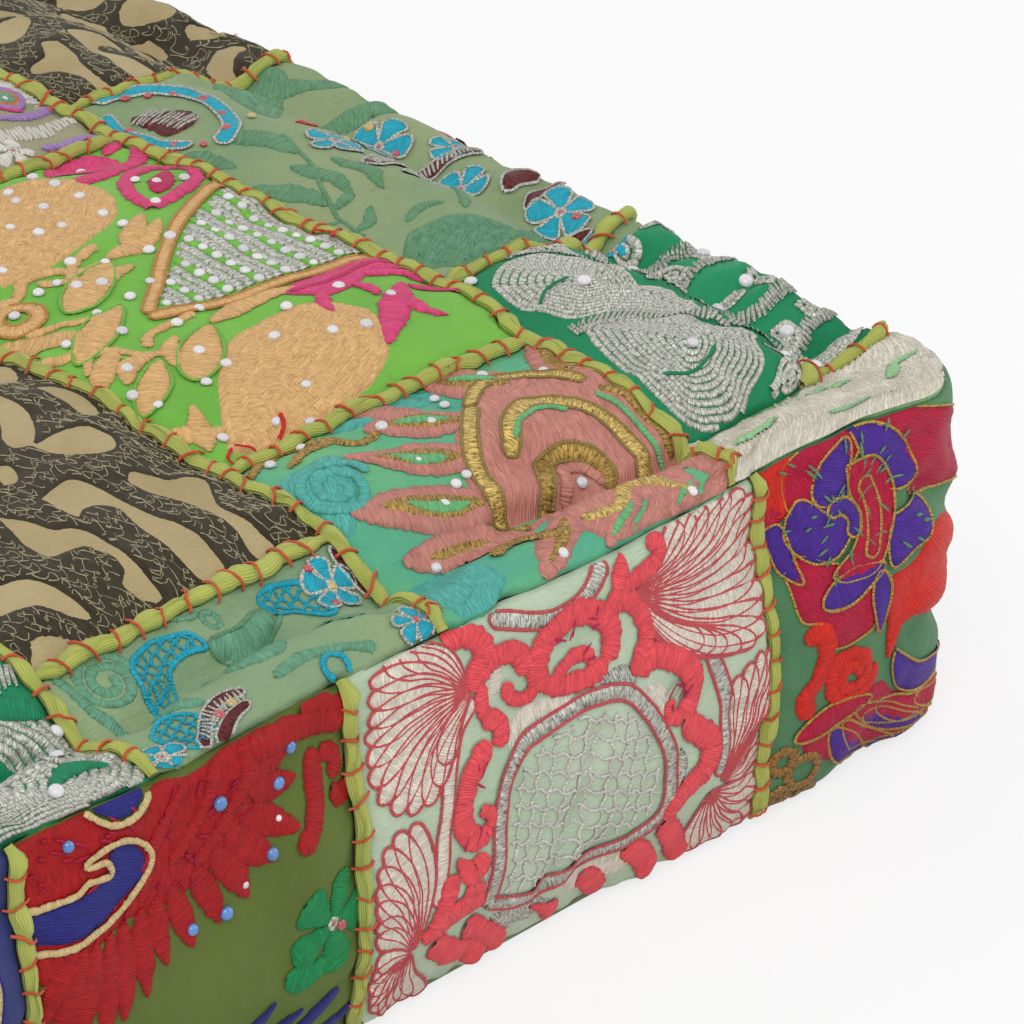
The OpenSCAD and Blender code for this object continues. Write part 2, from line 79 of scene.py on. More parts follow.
# Seams of the side in the order of its patches: side 0 front, 1 right, 2 back or
# 3 left, and the place on it as a share of the half side
SIDE_SEAMS = (
    ("side_front_red_wing", 0, -0.49),
    ("side_front_coral_medallion", 0, -0.012),
    ("side_corner_crimson_rose", 0, 0.653),
    ("side_right_sage_blossom", 1, -0.8),
    ("side_right_gold_lime", 1, -0.25),
    ("side_right_coral_medallion", 1, 0.3),
    ("side_corner_emerald_paisley", 1, 0.86),
    ("side_back_red_wing", 2, -0.55),
    ("side_back_crimson_rose", 2, 0.02),
    ("side_corner_jade_lotus", 2, 0.58),
    ("side_left_coral_medallion", 3, -0.82),
    ("side_left_beige_scroll", 3, -0.24),
    ("side_left_sage_lattice", 3, 0.33),
    ("side_corner_indigo_daisy", 3, 0.86),
)

# A gap in millimetres that stands for no seam near
FAR = 99

# Folds seen in the photograph: chart, depth, width and places
FOLDS = (
    ("top", 4.6, 3.2, ((84, -216), (104, -222), (124, -226), (150, -223))),
    ("top", 3.8, 3.2, ((-60, -224), (-30, -219), (0, -222), (24, -229))),
    ("top", 3.4, 3.4, ((-164, -218), (-124, -224), (-88, -221))),
    ("top", 3.2, 3.0, ((206, -182), (210, -196), (214, -212))),
    ("top", 3.0, 3.0, ((192, -118), (212, -127), (238, -141))),
    ("top", 3.0, 3.0, ((188, -158), (212, -165), (242, -171))),
    ("top", 2.6, 3.2, ((196, -190), (216, -199), (242, -208))),
    ("top", 2.4, 4.0, ((176, -60), (206, -76), (240, -80))),
    ("top", 2.2, 3.6, ((194, 30), (214, 10), (240, 4))),
    ("top", 2.6, 3.6, ((120, -218), (114, -208), (102, -203))),
    ("top", 2.0, 3.4, ((-20, -212), (-6, -206), (12, -208))),
    ("side", 3.2, 4.0, ((212, 36), (232, 54), (266, 64))),
    ("side", 3.0, 4.5, ((216, 82), (244, 88), (274, 84))),
    ("side", 2.0, 3.4, ((-72, 14), (-62, 28), (-66, 46))),
    ("side", 2.0, 3.2, ((-74, 58), (-70, 90), (-75, 124))),
    ("side", 2.0, 3.4, ((80, 58), (75, 78), (66, 100))),
    ("side", 1.8, 3.0, ((-104, 12), (-96, 30), (-100, 46))),
)


def length(name, description, default):
    return FloatProperty(name=name, description=description, default=default, unit="LENGTH",
                         subtype="DISTANCE", min=0)


def colour(name, description, code):
    return FloatVectorProperty(name=name, description=description, default=linear(code),
                               subtype="COLOR", size=3, min=0, max=1)


def linear(code):
    """Linear red, green and blue of a colour written as six hexadecimal digits."""
    channels = [int(code[i:i + 2], 16) / 255 for i in (0, 2, 4)]
    return tuple(c / 12.92 if c <= 0.04045 else ((c + 0.055) / 1.055) ** 2.4 for c in channels)


class PoufSizes(bpy.types.PropertyGroup):
    corner_r: length("Corner radius", "Radius of the corners at the crest", 0.035)
    crest_inset: length("Crest inset", "How far the crest stands in from the side", 0.009)
    roll_w: length("Roll width", "From the crest of the rolled edge to its valley", 0.019)
    valley: length("Valley depth", "Depth of the valley behind the roll", 0.010)
    crown: length("Crown", "Rise of the middle above the crest", 0.007)
    lip: length("Lip", "How far the top patches come down over the crest", 0.0094)
    foot_inset: length("Foot inset", "How far the foot seam stands in", 0.008)
    foot_extra: length("Foot corner", "What the foot's corner radius has more than the crest's", 0.001)
    foot_h: length("Foot height", "Height of the foot seam above the floor", 0.0004)
    cloth_t: length("Cloth", "Thickness of a patch", 0.0012)
    cord_d: length("Cord", "Width of the couched yarn cords", 0.0054)
    puff: length("Puff", "How far a patch puffs up between its seams", 0.0022)
    stitch_gap: length("Stitch gap", "Distance between the stitches over a cord", 0.0085)


class PoufColours(bpy.types.PropertyGroup):
    yarn: colour("Yarn", "Colour of the couched cords", "B2BA57")
    stitch: colour("Stitch", "Colour of the stitches over the cords", "D23A22")
    base: colour("Base", "Colour of the base cloth", "7F9468")
    lining: colour("Lining", "Colour of the inner case", "E2DAC2")
    zip: colour("Zip", "Colour of the zip tape", "4F6B3A")
    brass: colour("Brass", "Colour of the zip's slider and stops", "B9A25A")


# Shader sums


class Value:
    """A shader socket that takes part in Python sums."""

    def __init__(self, nodes, socket):
        self.nodes = nodes
        self.socket = socket

    def _math(self, operation, first, second):
        return self.nodes.add("ShaderNodeMath", {"operation": operation}, {0: first, 1: second})

    def __add__(self, other):
        return self._math("ADD", self, other)

    def __radd__(self, other):
        return self._math("ADD", other, self)

    def __sub__(self, other):
        return self._math("SUBTRACT", self, other)

    def __rsub__(self, other):
        return self._math("SUBTRACT", other, self)

    def __mul__(self, other):
        return self._math("MULTIPLY", self, other)

    def __rmul__(self, other):
        return self._math("MULTIPLY", other, self)


class Nodes:
    """A node tree whose nodes are added by one method."""

    def __init__(self, tree):
        self.tree = tree

    def plug(self, socket, value):
        if isinstance(value, Value):
            self.tree.links.new(value.socket, socket)
        elif hasattr(socket.default_value, "__len__") and len(socket.default_value) == 4:
            socket.default_value = (*value, 1)[:4]
        else:
            socket.default_value = value

    def add(self, kind, settings, inputs, output=0):
        """A node of a type with its settings and the values or links of its sockets."""
        node = self.tree.nodes.new(kind)
        for name, value in settings.items():
            setattr(node, name, value)
        for name, value in inputs.items():
            self.plug(node.inputs[name], value)
        return Value(self, node.outputs[output])

    def shade(self, output, share, first, second):
        """Sends a mix of two shaders to the output of the tree."""
        mixed = self.add("ShaderNodeMixShader", {}, {0: share, 1: first, 2: second})
        self.tree.links.new(mixed.socket, self.tree.nodes[output].inputs[0])


class Finish(Nodes):
    """A material of the pouf. Its flat maps are in millimetres."""

    def __init__(self, name, roughness, **constants):
        self.material = bpy.data.materials.new(name)
        self.material.use_nodes = True
        super().__init__(self.material.node_tree)
        self.shader = self.tree.nodes["Principled BSDF"]
        self.set({"Roughness": roughness})
        self.set({key.replace("_", " ").title().replace("Ior", "IOR"): value
                  for key, value in constants.items()})

    def set(self, values):
        for name, value in values.items():
            self.plug(self.shader.inputs[name], value)

    def uv(self):
        return self.add("ShaderNodeUVMap", {"uv_map": "flat"}, {})

    def place(self):
        return self.add("ShaderNodeTexCoord", {}, {}, "Object")

    def dye(self):
        return self.add("ShaderNodeAttribute", {"attribute_name": "dye"}, {})

    def scaled(self, vector, scale):
        return self.add("ShaderNodeMapping", {}, {"Vector": vector, "Scale": scale})

    def noise(self, vector, scale, detail, roughness=0.5):
        return self.add("ShaderNodeTexNoise", {}, {"Vector": vector, "Scale": scale, "Detail": detail,
                                                   "Roughness": roughness})

    def wave(self, vector, scale, distortion, axis):
        return self.add("ShaderNodeTexWave", {"bands_direction": axis},
                        {"Vector": vector, "Scale": scale, "Distortion": distortion,
                         "Detail": 1, "Detail Scale": 2}, 1)

    def ramp(self, value, low, high):
        """0 at or under low, 1 at or over high."""
        return self.add("ShaderNodeMapRange", {"clamp": True},
                        {"Value": value, "From Min": low, "From Max": high})

    def mix(self, share, first, second, blend="MIX"):
        return self.add("ShaderNodeMix", {"data_type": "RGBA", "blend_type": blend},
                        {0: share, 6: first, 7: second}, 2)

    def bump(self, height, strength, distance, under=None):
        inputs = {"Height": height, "Strength": strength, "Distance": distance}
        if under is not None:
            inputs["Normal"] = under
        return self.add("ShaderNodeBump", {}, inputs)


# Smooth curves and waves


def hermite(x, places, values, slopes):
    """Smooth curve through values with the given slopes at places."""
    places, values, slopes = (np.asarray(v, float) for v in (places, values, slopes))
    x = np.clip(x, places[0], places[-1])
    i = np.clip(np.searchsorted(places, x, side="right") - 1, 0, len(places) - 2)
    step = places[i + 1] - places[i]
    t = (x - places[i]) / step
    return (values[i] * (1 + 2 * t) * (1 - t) ** 2 + values[i + 1] * t * t * (3 - 2 * t)
            + step * (slopes[i] * t * (1 - t) ** 2 + slopes[i + 1] * t * t * (t - 1)))


def ripple(points, wavelength, seed, waves=14):
    """Soft noise of about -1 to 1 on points in any number of dimensions."""
    rng = np.random.default_rng(seed)
    points = np.asarray(points, float)
    total = 0
    for _ in range(waves):
        way = rng.normal(size=points.shape[-1])
        way *= 2 * math.pi / wavelength * rng.uniform(0.6, 1.5) / np.linalg.norm(way)
        total = total + np.cos(points @ way + rng.uniform(0, 2 * math.pi))
    return total / math.sqrt(waves)


def smooth_line(points, step):
    """Points at even steps along a smooth curve through the given ones."""
    points = np.asarray(points, float)
    if len(points) == 2:
        points = np.array([points[0], points.mean(0), points[1]])
    ends = np.vstack([2 * points[0] - points[1], points, 2 * points[-1] - points[-2]])
    parts = []
    for i in range(len(points) - 1):
        p0, p1, p2, p3 = ends[i:i + 4]
        count = max(2, math.ceil(np.linalg.norm(p2 - p1) / step * 2))
        t = np.arange(count)[:, None] / count
        parts.append(0.5 * (2 * p1 + (p2 - p0) * t + (2 * p0 - 5 * p1 + 4 * p2 - p3) * t ** 2
                            + (3 * p1 - p0 - 3 * p2 + p3) * t ** 3))
    fine = np.vstack(parts + [points[-1:]])
    along = lengths(fine)
    count = max(2, math.ceil(along[-1] / step))
    even = np.linspace(0, along[-1], count + 1)
    return np.stack([np.interp(even, along, fine[:, k]) for k in range(fine.shape[1])], -1), even


def soft_step(value, low, high):
    """0 below low, 1 above high and smooth between."""
    t = np.clip((value - low) / (high - low), 0, 1)
    return t * t * (3 - 2 * t)


def unit(vectors):
    return vectors / np.maximum(np.linalg.norm(vectors, axis=-1, keepdims=True), 1e-9)


def direction(turn):
    return np.array([math.cos(turn), math.sin(turn)])


def lengths(points):
    """How far along a line each of its points lies."""
    return np.concatenate([[0], np.cumsum(np.linalg.norm(np.diff(points, axis=0), axis=1))])


def ways(path):
    """The heading of a flat line, and the way to its left, at each of its points."""
    heading = unit(np.gradient(path, axis=0))
    return heading, np.stack([-heading[:, 1], heading[:, 0]], -1)


def outmost(a, b):
    """How far out of the middle of a square a place lies."""
    return np.maximum(np.abs(a), np.abs(b))


def ring_of(places):
    """The flat places of an outline with its first place again at the end."""
    return np.vstack([places, places[:1]])[:, :2]


def runs(keep):
    """Where each run of true values starts and stops."""
    edges = np.flatnonzero(np.diff(np.concatenate([[0], keep.astype(int), [0]])))
    return zip(edges[::2], edges[1::2])


def sampled(grid, u, v, around):
    """Values between a grid's nodes. The first way may go round."""
    n, m = grid.shape[:2]
    v = np.clip(v, 0, m - 1.0001)
    if not around:
        u = np.clip(u, 0, n - 1.0001)
    i, j = np.floor(u).astype(int), np.floor(v).astype(int)
    s, t = (u - i)[..., None], (v - j)[..., None]
    i, k = (i % n, (i + 1) % n) if around else (i, i + 1)
    return (grid[i, j] * (1 - s) * (1 - t) + grid[k, j] * s * (1 - t)
            + grid[i, j + 1] * (1 - s) * t + grid[k, j + 1] * s * t)


def softened(grid, around):
    """A grid averaged with its neighbours."""
    for axis in (0, 1):
        line = np.moveaxis(grid, axis, 0)
        before, after = np.roll(line, 1, 0), np.roll(line, -1, 0)
        if axis or not around:
            before[0], after[-1] = line[0], line[-1]
        grid = np.moveaxis((before + 2 * line + after) / 4, 0, axis)
    return grid


# The quilted surface


class Patch:
    """A rectangle on one of the cover's two charts, in millimetres."""

    def __init__(self, name, chart, a0, a1, b0, b1):
        self.name = name
        self.chart = chart
        self.a0, self.a1, self.b0, self.b1 = a0, a1, b0, b1
        self.width = a1 - a0
        self.height = b1 - b0
        self.style = name.split("_", 2)[2]


class Chart:
    """Points and normals of the cover on a grid of flat places, in millimetres."""

    def __init__(self, a, b, around):
        self.a, self.b, self.around = a, b, around
        self.points = self.normals = None

    def finish(self):
        """Works the normals out from the points."""
        points = self.points
        if self.around:
            before, after = np.roll(points, 1, 0), np.roll(points, -1, 0)
            across = after - before
        else:
            across = np.gradient(points, axis=0)
        down = np.gradient(points, axis=1)
        self.normals = unit(np.cross(across, down) * (-1 if self.around else 1))

    def at(self, a, b, lift=0):
        """Places in space over the flat places a, b."""
        a, b = np.broadcast_arrays(np.asarray(a, float), np.asarray(b, float))
        u = (a - self.a[0]) / (self.a[1] - self.a[0])
        v = (b - self.b[0]) / (self.b[1] - self.b[0])
        point, normal = (sampled(g, u, v, self.around) for g in (self.points, self.normals))
        normal = unit(normal)
        return point + normal * np.asarray(lift, float)[..., None], normal

    def outwards(self, faces):
        """Faces of a grid over the chart, turned so that they point out of the pouf."""
        return faces[:, ::-1] if self.around else faces


class Cover:
    """The cover's shape in millimetres, as a top chart and a side chart.

    On the top chart a and b are plan distances to the right and to the back of the
    middle, and run on over the crest. On the side chart a goes round the crest from
    the middle of the front to the right, and b goes down from the crest.
    """

    # Step of the charts, and the cells and rings of the simulation's coarse cover
    GRID = 2.5
    CELLS = 100
    RINGS = 24
    # Frames of the simulation, its pressure, and how much the cloth grows
    FRAMES = 20
    PRESSURE = 4
    GROWTH = 0.035
    # Most that the simulation moves a place
    SWELL = 4.0
    # Depth of the side chart's lower edge, where the foot seam runs
    DEPTH = 126.0
    # How far from the crest's seam the folds and the smoothing reach their full size,
    # and how far the closing of that seam reaches
    FREE = 8
    CLOSING = 6
    # Heights, wavelengths and seeds of the soft unevenness of the cloth
    UNEVEN = ((1.1, 75, 3), (0.55, 28, 4), (0.22, 12, 5))
    # Puckers at the seams: height, wavelength, reach and width of the stitched line
    PUCKER = 1.05, 12, 9, 1.5
    # Depth and width of the groove in a patch's seam, of the hollow under the crest
    # and of the groove in the crest's seam
    GROOVE = 1.1, 2.6
    HOLLOW = 3.4, 13
    CREST_GROOVE = 0.35, 1.8

    def __init__(self, sizes):
        mm = {key: getattr(sizes, key) / MM for key in PoufSizes.__annotations__}
        self.mm = mm
        self.corner = mm["corner_r"]
        self.half = HALF - mm["crest_inset"]
        self.run = self.half - self.corner + math.pi * self.corner / 4
        self.around = 8 * self.run
        self.lip = mm["lip"]
        self.reach = self.half + self.lip
        self.patches = self.lay_out()
        self.moves = self.blow_up()
        self.top = self.make_top()
        self.side = self.make_side()
        self.close_crest()

    def lay_out(self):
        """Every patch by its node's name."""
        patches = []
        for name in sorted(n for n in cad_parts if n.startswith("top_")):
            column, row = int(name[4]) - 1, ord(name[5]) - ord("a")
            shares = [*COLUMN_SHARES[column:column + 2], *ROW_SHARES[column][row:row + 2]]
            places = [s * (self.half if abs(s) < 1 else self.reach) for s in shares]
            patches.append(Patch(name, "top", *places))
        starts = [self.side_place(side, share) for _, side, share in SIDE_SEAMS]
        for i, (name, _, _) in enumerate(SIDE_SEAMS):
            end = starts[(i + 1) % len(starts)]
            if end < starts[i]:
                end += self.around
            patches.append(Patch(name, "side", starts[i], end, self.lip, self.DEPTH))
        return patches

    def side_place(self, side, share):
        return (2 * side + share) * self.run

    @staticmethod
    def rounded(s, half, corner, arc):
        """Where a way of s along one side of a rounded square ends: along it and out."""
        straight = half - corner
        turn = np.maximum(np.pi / 4 * (np.abs(s) - straight) / arc, 0)
        along = np.where(turn > 0, np.sign(s) * (straight + corner * np.sin(turn)), s)
        return along, np.where(turn > 0, half - corner + corner * np.cos(turn), half)

    def side_base(self, s, g):
        """The plain side at a way round the crest and a depth. It has a waist and a foot."""
        mm = self.mm
        foot = mm["foot_inset"]
        g0 = np.array([0, self.lip, 24, 60, 99, self.DEPTH])
        inset = hermite(g, g0, [mm["crest_inset"], 3, 4, 0, foot / 4, foot],
                        [-1, -0.25, 0.02, 0, 0.2, 0.5])
        z = hermite(g, g0, [CREST_H, CREST_H - 7.2, CREST_H * 0.82, CREST_H * 0.52, CREST_H * 0.2,
                            mm["foot_h"]], [0, -0.95, -1, -1, -0.95, -0.6])
        corner = self.corner + mm["foot_extra"] * np.interp(g, g0, [0, 0, 0, 0.2, 0.6, 1])
        side = np.floor((s + self.run) / (2 * self.run))
        half = HALF - inset
        along, out = self.rounded(s - 2 * self.run * side, half, corner, self.run - (half - corner))
        side = np.mod(side, 4)
        x = np.select([side == 0, side == 1, side == 2], [along, out, -along], -out)
        y = np.select([side == 0, side == 1, side == 2], [-out, along, out], -along)
        return np.stack([x, y, z], -1)

    def top_base(self, a, b):
        """The plain top, with its roll, valley and crown, and the side from the crest on."""
        mm = self.mm
        u, v = a / self.half, b / self.half
        m = np.maximum(outmost(u, v), 1e-6)
        level = np.minimum(m, 1)
        corner = self.corner * level ** 3
        half = self.half * level
        spare = corner - np.pi * corner / 4
        front = np.abs(v) >= np.abs(u)
        share = np.where(front, u, v) / m
        along, out = self.rounded(share * (half - spare), half, corner,
                                  np.maximum(half - spare - (half - corner), 1e-9))
        x = np.where(front, along, np.sign(u) * out)
        y = np.where(front, np.sign(v) * out, along)
        edge = np.maximum(self.half - outmost(a, b), 0)
        roll, dip = mm["roll_w"], mm["valley"]
        rise = hermite(edge, [0, 0.4 * roll, roll, 1.6 * roll, 2.4 * roll, 3.4 * roll, HALF],
                       [0, -0.22 * dip, -dip, -0.6 * dip, -0.12 * dip, 0, 0],
                       [0, -0.5, 0, 0.42, 0.12, 0, 0])
        level_u, level_v = (1 - np.minimum(np.abs(w), 1) ** 3 for w in (u, v))
        z = CREST_H + rise + mm["crown"] * level_u * level_v
        points = np.stack([x, y, z], -1)
        below = self.side_base(self.edge_place(a, b), (m - 1) * self.half)
        return np.where((m > 1)[..., None], below, points)

    def edge_place(self, a, b):
        """Where a place on the top, taken straight out to its edge, lies round the crest."""
        front = np.abs(b) >= np.abs(a)
        side = np.where(front, np.where(b < 0, 0, 2), np.where(a > 0, 1, 3))
        share = np.where(front, a, b) / np.maximum(outmost(a, b), 1e-6)
        return (2 * side + share * np.where(side < 2, 1, -1)) * self.run

    def seams(self, a, b, chart):
        """For each patch: the places in it, their distance to a seam and their way along it."""
        for patch in (p for p in self.patches if p.chart == chart):
            a_here = patch.a0 + np.mod(a - patch.a0, self.around) if chart == "side" else a
            inside = ((a_here >= patch.a0) & (a_here <= patch.a1) & (b >= patch.b0 - 1e-6)
                      & (b <= patch.b1 + 1e-6))
            edges = ((a_here, patch.a0, 1), (a_here, patch.a1, -1), (b, patch.b0, 1), (b, patch.b1, -1))
            at_crest = (self.lip, self.reach, -self.reach)
            gaps = np.stack([FAR + 0 * a if edge in at_crest else way * (at - edge)
                             for at, edge, way in edges])
            yield inside, np.maximum(gaps.min(0), 0), np.where(gaps.argmin(0) < 2, b, a_here)

    def shell(self, cells, levels):
        """The closed cover as a bmesh. Its layer holds a, b and the chart: 0 top, 1 side."""
        bm = bmesh.new()
        bmesh.ops.create_grid(bm, x_segments=cells, y_segments=cells, size=self.reach)
        layer = bm.verts.layers.float_vector.new("place")
        for vert in bm.verts:
            vert[layer] = vert.co
        rim = [e for e in bm.edges if e.is_boundary]
        for level in levels:
            grown = bmesh.ops.extrude_edge_only(bm, edges=rim)["geom"]
            rim = [g for g in grown if isinstance(g, bmesh.types.BMEdge)]
            for vert in (g for g in grown if isinstance(g, bmesh.types.BMVert)):
                a, b, on_side = vert[layer]
                vert[layer] = (a if on_side > 0.5 else self.edge_place(a, b), level, 1)
        bmesh.ops.contextual_create(bm, geom=rim)
        self.number(bm)
        return bm, np.array([v[layer] for v in bm.verts])

    @staticmethod
    def number(bm):
        """Puts edges and faces in the order of their vertices, which is the same each run.

        The simulation follows that order, and the one that extruding leaves varies.
        """
        bm.verts.index_update()
        for parts in (bm.edges, bm.faces):
            ranked = sorted(parts, key=lambda part: sorted(v.index for v in part.verts))
            rank = {part: i for i, part in enumerate(ranked)}
            parts.sort(key=rank.get)

    def blow_up(self):
        """How a cloth simulation moves a coarse cover that is blown up between its seams."""
        bm, places = self.shell(self.CELLS, np.linspace(self.lip, self.DEPTH, self.RINGS + 1)[1:])
        a, b, on_side = places[:, 0], places[:, 1], places[:, 2] > 0.5
        start = np.where(on_side[:, None], self.side_base(a, b), self.top_base(a, b))
        start = self.settle(start)
        for vert, point in zip(bm.verts, start):
            vert.co = point * MM
        mesh = mesh_of(bm, "cover before it is filled")
        near_enough = 0.55 * (2 * self.reach / self.CELLS)
        out = outmost(a, b)
        valley = self.half - self.mm["roll_w"]
        pinned = np.where(on_side, b > self.DEPTH - 1, np.abs(valley - out) < near_enough)
        for chart, here in (("top", ~on_side), ("side", on_side)):
            for inside, near, _ in self.seams(a[here], b[here], chart):
                pinned[here] |= inside & (near < near_enough)
        obj = bpy.data.objects.new(mesh.name, mesh)
        scene = bpy.context.scene
        scene.collection.objects.link(obj)
        obj.vertex_groups.new(name="seams").add(np.flatnonzero(pinned).tolist(), 1, "REPLACE")
        cloth = obj.modifiers.new("Cloth", "CLOTH")
        cloth.settings.vertex_group_mass = "seams"
        cloth.settings.use_pressure = True
        cloth.settings.uniform_pressure_force = self.PRESSURE
        cloth.settings.shrink_min = -self.GROWTH
        cloth.settings.effector_weights.gravity = 0
        cloth.point_cache.frame_end = self.FRAMES
        for step in range(1, self.FRAMES + 1):
            scene.frame_set(step)
        blown = obj.evaluated_get(bpy.context.evaluated_depsgraph_get()).data
        moved = np.empty(len(start) * 3, np.float32)
        blown.vertices.foreach_get("co", moved)
        moved = moved.reshape(-1, 3) / MM - start
        bpy.data.objects.remove(obj)
        bpy.data.meshes.remove(mesh)
        scene.frame_set(1)
        size = np.maximum(np.linalg.norm(moved, axis=1, keepdims=True), 1e-9)
        moved = moved * self.SWELL * np.tanh(size / self.SWELL) / size
        n = self.CELLS
        top, side = np.zeros((n + 1, n + 1, 3)), np.zeros((4 * n, self.RINGS + 1, 3))
        u, v = (np.rint(x[~on_side]).astype(int) for x in self.grid_place(a, b))
        top[u, v] = moved[~on_side]
        rim = on_side | (out > self.reach - 1)
        around, down = np.where(on_side, a, self.edge_place(a, b)), np.where(on_side, b, self.lip)
        u, v = (np.rint(x[rim]).astype(int) for x in self.ring_place(around, down))
        side[u % (4 * n), v] = moved[rim]
        return {"top": top, "side": side}

    def grid_place(self, a, b):
        """Where a place on the top falls in the coarse cover's grid."""
        return ((x / self.reach + 1) / 2 * self.CELLS for x in (a, b))

    def ring_place(self, a, b):
        """Where a place on the side falls in the coarse cover's rings."""
        return (a / self.run + 1) / 2 * self.CELLS, (b - self.lip) / (self.DEPTH - self.lip) * self.RINGS

    def movement(self, a, b, chart):
        """The simulation's movement at flat places, smoothed away from the crest's seam."""
        if not self.moves:
            return 0
        around = chart == "side"
        u, v = self.ring_place(a, b) if around else self.grid_place(a, b)
        moved = sampled(self.moves[chart], u, v, around)
        smooth = softened(softened(moved, around), around)
        return moved + (smooth - moved) * self.freedom(a, b, chart)[..., None]

    def freedom(self, a, b, chart):
        """0 at the crest's seam, 1 away from it."""
        free = b - self.lip if chart == "side" else self.reach - outmost(a, b)
        return np.clip(free / self.FREE, 0, 1)

    def relief(self, points, a, b, chart, down):
        """How far the cloth stands out of its plain shape."""
        swell = self.mm["puff"] * (0.45 if self.moves else 1)
        fade = 1 - np.exp(-((down - self.lip) / 7) ** 2)
        out = sum(high * ripple(points, wide, seed) for high, wide, seed in self.UNEVEN)
        out = out * (0.35 + 0.65 * np.clip((self.DEPTH - down) / 30, 0, 1))
        pucker_high, pucker_wide, pucker_reach, line = self.PUCKER
        for i, (inside, near, along) in enumerate(self.seams(a, b, chart)):
            pucker = ripple(np.stack([along, near * 0.25 + 50 * i], -1), pucker_wide, 20 + i)
            puff = swell * (1 - np.exp(-near / 9)) - self.dent(near, self.GROOVE)
            pulled = pucker_high * pucker * np.exp(-near / pucker_reach) * (1 - np.exp(-near / line))
            out = out + np.where(inside, (puff + pulled) * fade, 0)
        return out - self.dent(down, self.HOLLOW) - self.dent(down - self.lip, self.CREST_GROOVE)

    @staticmethod
    def dent(gap, size):
        """Depth at a gap from the middle of a dent with the given depth and width."""
        return size[0] * np.exp(-(gap / size[1]) ** 2)

    def settle(self, points):
        """Moves points by the sags and swells of the cushion in the photograph."""
        x, y, z = np.moveaxis(points, -1, 0)
        right = soft_step(x, 192, 240) * soft_step(z, 84, 112)
        sag = np.interp(y, [-250, -215, -198, -175, -156, -139, -123, -107, -90, -68, -37, 2, 57, 250],
                        [3.5, 6, 8.7, 5.2, 4, 6.6, 2.4, 7, 6, 2.6, 3.6, 2.2, 1, 1])
        corner = soft_step((np.abs(x) + np.abs(y)) / math.sqrt(2), 306, 332)
        ear = corner * np.interp(z, [0, 8, 16, 28, 40, 52, 62, 77, 88, 103, 113, 122],
                                 [3, 3.4, 0.8, -2.6, -3.2, -2.2, -1, 1.6, 2.6, 4.6, 4.2, 0]) / math.sqrt(2)
        foot = np.interp(x, [-250, 0, 14, 35, 60, 100, 140, 165, 185, 205, 225],
                         [0, -1, -1, -1, -1, 1, 3, 3.4, 3, 0, 0])
        foot = foot * soft_step(-y, 200, 236) * soft_step(-z, -40, -8)
        out = np.sign(x) * ear - 0.8 * right
        return points + np.stack([out, np.sign(y) * ear - foot, -sag * right], -1)

    def crease(self, a, b, chart):
        """Depth of the photograph's folds at flat places."""
        depth = 0
        for where, deep, wide, line in FOLDS:
            if where == chart:
                line = smooth_line(line, 3)[0]
                gap = np.sqrt(((np.stack([a, b], -1)[..., None, :] - line) ** 2).sum(-1).min(-1))
                rim = 0.45 * np.exp(-((gap - 2.1 * wide) / wide) ** 2)
                depth = depth + deep * (np.exp(-(gap / wide) ** 2) - rim)
        return depth * self.freedom(a, b, chart)

    def make_top(self):
        line = np.linspace(-self.reach, self.reach, 2 * math.ceil(self.reach / self.GRID) + 1)
        return self.raised(Chart(line, line, False), "top", self.top_base)

    def make_side(self):
        count = math.ceil(self.around / self.GRID)
        rows = math.ceil((self.DEPTH - self.lip) / self.GRID) + 1
        a = np.arange(count) * self.around / count
        b = np.linspace(self.lip, self.DEPTH, rows)
        return self.raised(Chart(a, b, True), "side", self.side_base)

    def raised(self, chart, name, base):
        """A chart over its plain shape, with all that makes it uneven."""
        a, b = np.meshgrid(chart.a, chart.b, indexing="ij")
        chart.points = self.settle(base(a, b)) + self.movement(a, b, name)
        chart.finish()
        down = b if chart.around else outmost(a, b) - self.half
        out = self.relief(chart.points, a, b, name, down) - self.crease(a, b, name)
        chart.points = chart.points + chart.normals * out[..., None]
        chart.finish()
        return chart

    def close_crest(self):
        """Brings the edges of the two charts together at the crest's seam."""
        a, b = np.meshgrid(self.top.a, self.top.b, indexing="ij")
        out = outmost(a, b)
        place = np.mod(self.edge_place(a, b), self.around)
        rim = out > self.reach - 1e-6

        def between(where, places, values):
            return np.stack([np.interp(where, places, v, period=self.around) for v in values.T], -1)

        gap = between(self.side.a, place[rim], self.top.points[rim]) - self.side.points[:, 0]
        half_way = (0.5, self.CLOSING)
        fade = self.dent(self.side.b - self.lip, half_way)[:, None]
        self.side.points = self.side.points + gap[:, None] * fade
        fade = self.dent(self.reach - out, half_way)[..., None]
        self.top.points = self.top.points - between(place, self.side.a, gap) * fade
        self.top.finish()
        self.side.finish()

    def chart(self, patch):
        return self.top if patch.chart == "top" else self.side


# Meshes

SHAPES = {}


def taken(bm):
    """The vertices and faces of a bmesh, as arrays, and frees it."""
    bm.verts.ensure_lookup_table()
    verts = np.array([v.co for v in bm.verts])
    faces = [np.array([v.index for v in f.verts]) for f in bm.faces]
    bm.free()
    return verts, faces


def mesh_of(bm, name):
    """A mesh made from a bmesh, and frees that."""
    mesh = bpy.data.meshes.new(name)
    bm.to_mesh(mesh)
    bm.free()
    return mesh


def unit_grid(n, m):
    """Places from 0 to 1 and quads of a grid of n by m quads."""
    if (n, m) not in SHAPES:
        bm = bmesh.new()
        bmesh.ops.create_grid(bm, x_segments=n, y_segments=m, size=1)
        verts, faces = taken(bm)
        SHAPES[n, m] = ((verts[:, :2] + 1) / 2, np.array(faces))
    return SHAPES[n, m]


def counted_grid(n, m):
    """The steps along and across of a grid's places, and its quads."""
    places, faces = unit_grid(n, m)
    i, j = np.rint(places * (n, m)).astype(int).T
    return i, j, faces


